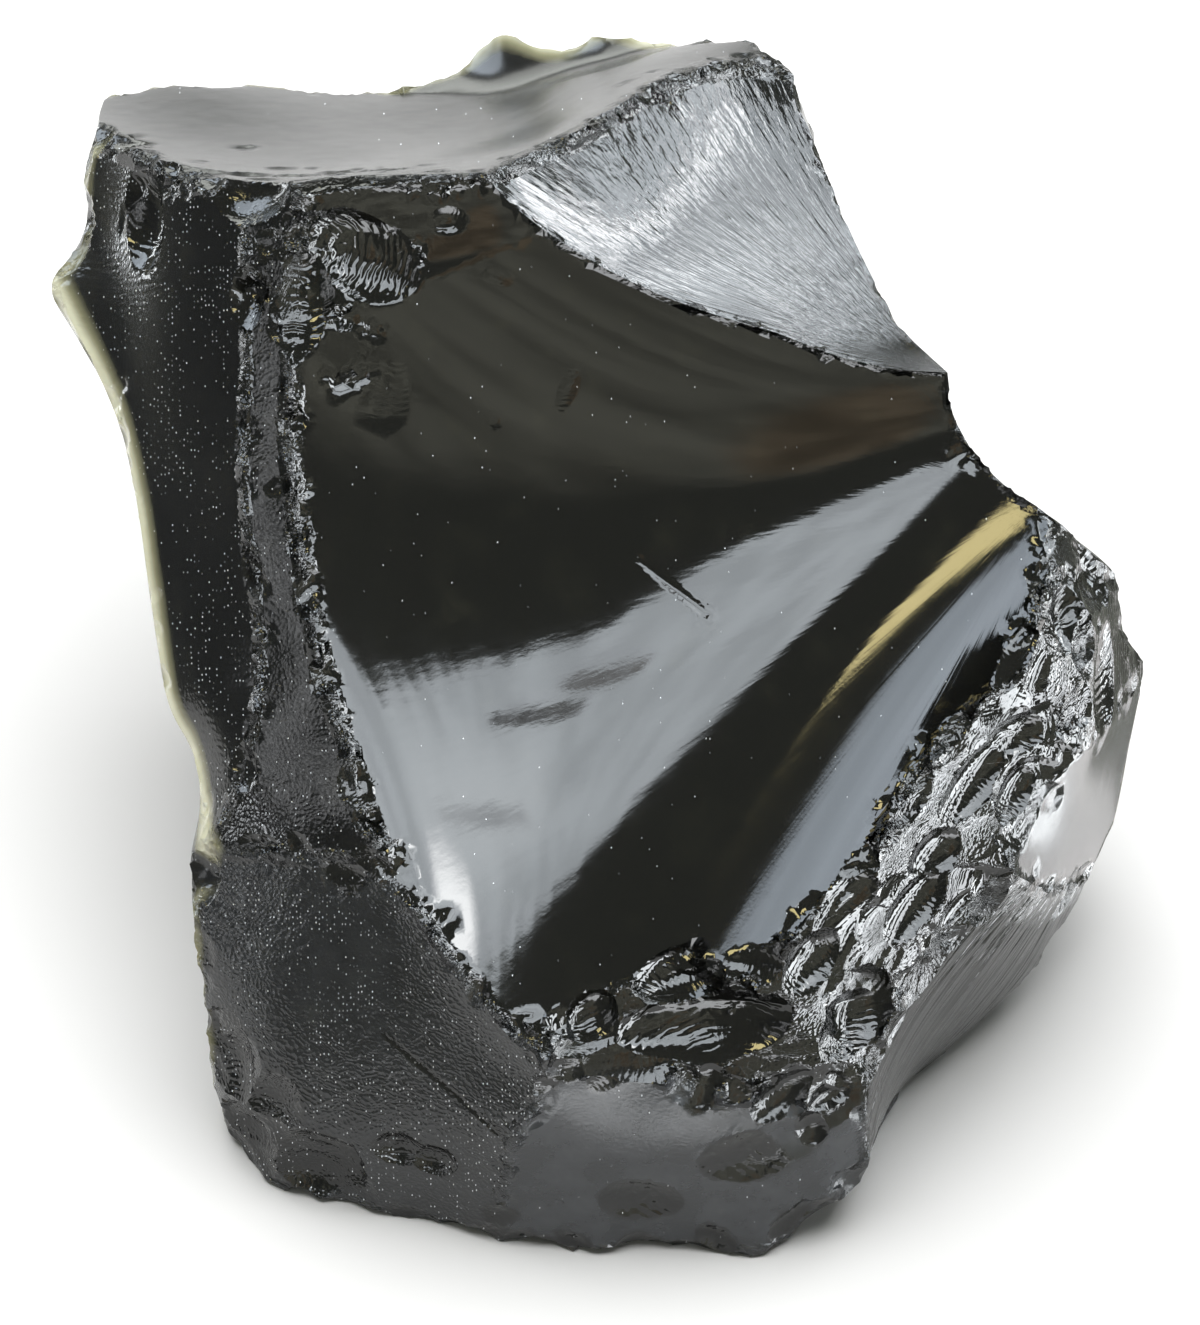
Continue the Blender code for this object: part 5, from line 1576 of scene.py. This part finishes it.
def glow_material(name, colour, strength, uneven):
    """A glow, even or blotchy, that fades to nothing where the card does."""
    material = bpy.data.materials.new("Card " + name)
    material.use_nodes = True
    material.node_tree.nodes.clear()
    material.cycles.emission_sampling = "NONE"
    wires = Wires(material.node_tree)
    brightness = strength
    if uneven:
        place = wires.node("ShaderNodeTexCoord").outputs["Object"]
        brightness = wires.fade(wires.noise(place, UNEVEN_SCALE, 3.0), 0.3, 0.7,
                                strength * (1.0 - uneven), strength * (1.0 + uneven))
    glow = wires.node("ShaderNodeEmission", inputs={
        "Color": (*colour, 1.0), "Strength": brightness})
    nothing = wires.node("ShaderNodeBsdfTransparent")
    solid = wires.node("ShaderNodeMixShader", inputs={
        0: wires.fade(wires.look("solid"), 0.0, 1.0)})
    material.node_tree.links.new(nothing.outputs[0], solid.inputs[1])
    material.node_tree.links.new(glow.outputs[0], solid.inputs[2])
    output = wires.node("ShaderNodeOutputMaterial")
    material.node_tree.links.new(solid.outputs[0], output.inputs["Surface"])
    return material


def light_only(light, name, receivers):
    """Let a light or a card shine on these objects alone."""
    group = bpy.data.collections.new(name)
    for receiver in receivers:
        group.objects.link(receiver)
    light.light_linking.receiver_collection = group


def floor_sheet(name, outer, hole=None):
    """A flat pale sheet just under the lump, with or without a hole."""
    mesh = bpy.data.meshes.new(name)
    corners = [rectangle(*outer)] + ([rectangle(*hole)] if hole else [])
    points = [(x, y, -FLOOR_DROP) for ring in corners for x, y in ring]
    faces = [(0, 1, 2, 3)]
    if hole:
        faces = [(i, (i + 1) % 4, 4 + (i + 1) % 4, 4 + i) for i in range(4)]
    mesh.from_pydata(points, [], faces)
    mesh.materials.append(floor_material())
    sheet = bpy.data.objects.new(name, mesh)
    bpy.context.collection.objects.link(sheet)
    return sheet


def rectangle(left, front, right, back):
    return [(left, front), (right, front), (right, back), (left, back)]


def floor_material():
    """Matt pale card, a very little uneven."""
    found = bpy.data.materials.get("Pale card")
    if found:
        return found
    material = bpy.data.materials.new("Pale card")
    material.use_nodes = True
    wires = Wires(material.node_tree)
    shader = material.node_tree.nodes["Principled BSDF"]
    place = wires.node("ShaderNodeTexCoord").outputs["Object"]
    tone = wires.fade(wires.noise(place, 6.0), 0.0, 1.0)
    darker = [0.98 * part for part in FLOOR_COLOUR[:3]] + [1.0]
    wires.feed(shader.inputs["Base Color"], wires.blend(tone, darker, FLOOR_COLOUR))
    shader.inputs["Roughness"].default_value = 0.9
    shader.inputs["Specular IOR Level"].default_value = 0.0
    return material


def dark_room():
    """A dim room for what mirrors in the glass, and a pale one behind the floor."""
    world = bpy.data.worlds.new("Studio")
    world.use_nodes = True
    world.node_tree.nodes.clear()
    wires = Wires(world.node_tree)
    seen = wires.node("ShaderNodeLightPath").outputs["Is Camera Ray"]
    shade = wires.blend(seen, DARK_ROOM, (1.0, 1.0, 1.0, 1.0))
    glow = wires.node("ShaderNodeBackground", inputs={"Color": shade, "Strength": 1.0})
    output = wires.node("ShaderNodeOutputWorld")
    world.node_tree.links.new(glow.outputs[0], output.inputs["Surface"])
    bpy.context.scene.world = world


def floor_wash(floors, strength):
    """A wide soft light, above and a little behind, that brightens the floor alone."""
    lamp = bpy.data.lights.new("floor_wash", "AREA")
    lamp.shape = "DISK"
    lamp.size = WASH_SIZE
    lamp.energy = strength * math.pi * math.pi * (WASH_SIZE / 2) ** 2
    wash = bpy.data.objects.new("floor_wash", lamp)
    wash.location = (0.0, WASH_BACK, WASH_HEIGHT)
    wash.visible_camera = False
    wash.visible_glossy = False
    bpy.context.collection.objects.link(wash)
    light_only(wash, "Lit by the wash", floors)
    return wash


def place_camera():
    """Look straight into the hollow from a long way off."""
    lens = bpy.data.cameras.new("camera")
    lens.sensor_width = 36.0
    lens.lens = lens.sensor_width * (CAMERA_DISTANCE - FRAME_PLANE) / FRAME_HEIGHT
    camera = bpy.data.objects.new("camera", lens)
    camera.location = Vector(leaned([(0.0, AIM_DROP, CAMERA_DISTANCE)])[0]) * MM
    camera.rotation_euler = (math.pi / 2 - LEAN, 0.0, 0.0)
    bpy.context.collection.objects.link(camera)
    bpy.context.scene.camera = camera


def build_lump():
    """The whole lump with its scars, bites and chips."""
    lump = Lump()
    strike_broad_scars(lump)
    strike_bites(lump)
    strike_edge_chips(lump, EDGE_CHIPS, EDGE_CHIP_SEED)
    strike_patches(lump, PATCHES, PATCH_SEED)
    strike_shells(lump)
    strike_patches(lump, LATE_PATCHES, LATE_SEED)
    return lump


class ObsidianSettings(bpy.types.PropertyGroup):
    """What a user would change about the glass and its crumbs."""

    bend: bpy.props.FloatProperty(
        name="Index of refraction", description="How strongly the glass mirrors",
        default=1.5, min=1.3, max=1.8)
    shard_size: bpy.props.FloatProperty(
        name="Shard size", description="Size of the facets of crushed glass",
        default=0.001, min=0.0002, max=0.005, unit="LENGTH")
    streak_height: bpy.props.FloatProperty(
        name="Streak height", description="Height of the fine lines of a break",
        default=0.00014, min=0.0, max=0.001, unit="LENGTH")
    ripple_height: bpy.props.FloatProperty(
        name="Ripple height", description="Scales the rings of every fan",
        default=1.0, min=0.0, max=5.0)
    crumb_density: bpy.props.FloatProperty(
        name="Crumb density", description="Splinters for each square metre of crushed edge",
        default=250000.0, min=0.0)
    crumb_smallest: bpy.props.FloatProperty(
        name="Smallest crumb", description="Radius of the smallest splinter",
        default=0.0001, min=0.00005, unit="LENGTH")
    crumb_largest: bpy.props.FloatProperty(
        name="Largest crumb", description="Radius of the largest splinter",
        default=0.0003, min=0.0001, unit="LENGTH")
    crumb_seed: bpy.props.IntProperty(
        name="Crumb seed", description="Chance pattern of the splinters", default=3)


class StudioSettings(bpy.types.PropertyGroup):
    """What a user would change about the studio."""

    wash: bpy.props.FloatProperty(
        name="Floor wash", description="Brightness of the light that only the floor takes",
        default=5.0, min=0.0)
    cards: bpy.props.FloatProperty(
        name="Card brightness", description="Scales the light of every card",
        default=1.0, min=0.0)


class OBSIDIAN_OT_glass(bpy.types.Operator):
    """Build the lump of glass and give it its finish"""

    bl_idname = "obsidian.glass"
    bl_label = "Build the glass"

    def execute(self, context):
        settings = context.scene.obsidian_settings
        lump = build_lump()
        glass = finish_lump(lump)
        glass.data.materials.append(glass_material(settings, ripple_places(lump)))
        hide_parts(NODE)
        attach(glass, BODY)
        return {"FINISHED"}


class OBSIDIAN_OT_crumbs(bpy.types.Operator):
    """Scatter splinters over the crushed edges"""

    bl_idname = "obsidian.crumbs"
    bl_label = "Scatter the crumbs"

    def execute(self, context):
        crumbs = scatter_crumbs(bpy.data.objects["obsidian_glass"],
                                context.scene.obsidian_settings)
        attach(crumbs, BODY)
        return {"FINISHED"}


class OBSIDIAN_OT_studio(bpy.types.Operator):
    """Set up the floor, the cards, the room and the camera"""

    bl_idname = "obsidian.studio"
    bl_label = "Set up the studio"

    def execute(self, context):
        settings = context.scene.studio_settings
        context.scene.view_settings.view_transform = "Standard"
        near = floor_sheet("floor_near", FLOOR_NEAR)
        reach = (-FLOOR_FAR, -FLOOR_FAR, FLOOR_FAR, FLOOR_FAR)
        far = floor_sheet("floor_far", reach, FLOOR_NEAR)
        far.visible_glossy = False
        pieces = [bpy.data.objects["obsidian_glass"], bpy.data.objects["edge_crumbs"]]
        cards = [dome_card(name, outline, colour, strength * settings.cards, soft, nearer)
                 for name, (outline, colour, strength, soft, nearer) in CARDS.items()]
        for card in cards:
            light_only(card, "Lit by " + card.name, pieces)
        wash = floor_wash([near, far], settings.wash)
        dark_room()
        place_camera()
        return {"FINISHED"}


class OBSIDIAN_PT_panel(bpy.types.Panel):
    """The obsidian chunk's tools, in the sidebar"""

    bl_label = "Obsidian chunk"
    bl_idname = "OBSIDIAN_PT_panel"
    bl_space_type = "VIEW_3D"
    bl_region_type = "UI"
    bl_category = "Obsidian"

    def draw(self, context):
        for settings in (context.scene.obsidian_settings, context.scene.studio_settings):
            for name in settings.__annotations__:
                self.layout.prop(settings, name)
        for operator in (OBSIDIAN_OT_glass, OBSIDIAN_OT_crumbs, OBSIDIAN_OT_studio):
            self.layout.operator(operator.bl_idname)


CLASSES = (ObsidianSettings, StudioSettings, OBSIDIAN_OT_glass, OBSIDIAN_OT_crumbs,
           OBSIDIAN_OT_studio, OBSIDIAN_PT_panel)


def register():
    for kind in CLASSES:
        bpy.utils.register_class(kind)
    bpy.types.Scene.obsidian_settings = bpy.props.PointerProperty(type=ObsidianSettings)
    bpy.types.Scene.studio_settings = bpy.props.PointerProperty(type=StudioSettings)


def unregister():
    del bpy.types.Scene.obsidian_settings
    del bpy.types.Scene.studio_settings
    for kind in reversed(CLASSES):
        bpy.utils.unregister_class(kind)


def main():
    register()
    bpy.ops.obsidian.glass()
    bpy.ops.obsidian.crumbs()
    bpy.ops.obsidian.studio()
    bpy.context.view_layer.update()


if __name__ == "__main__":
    main()
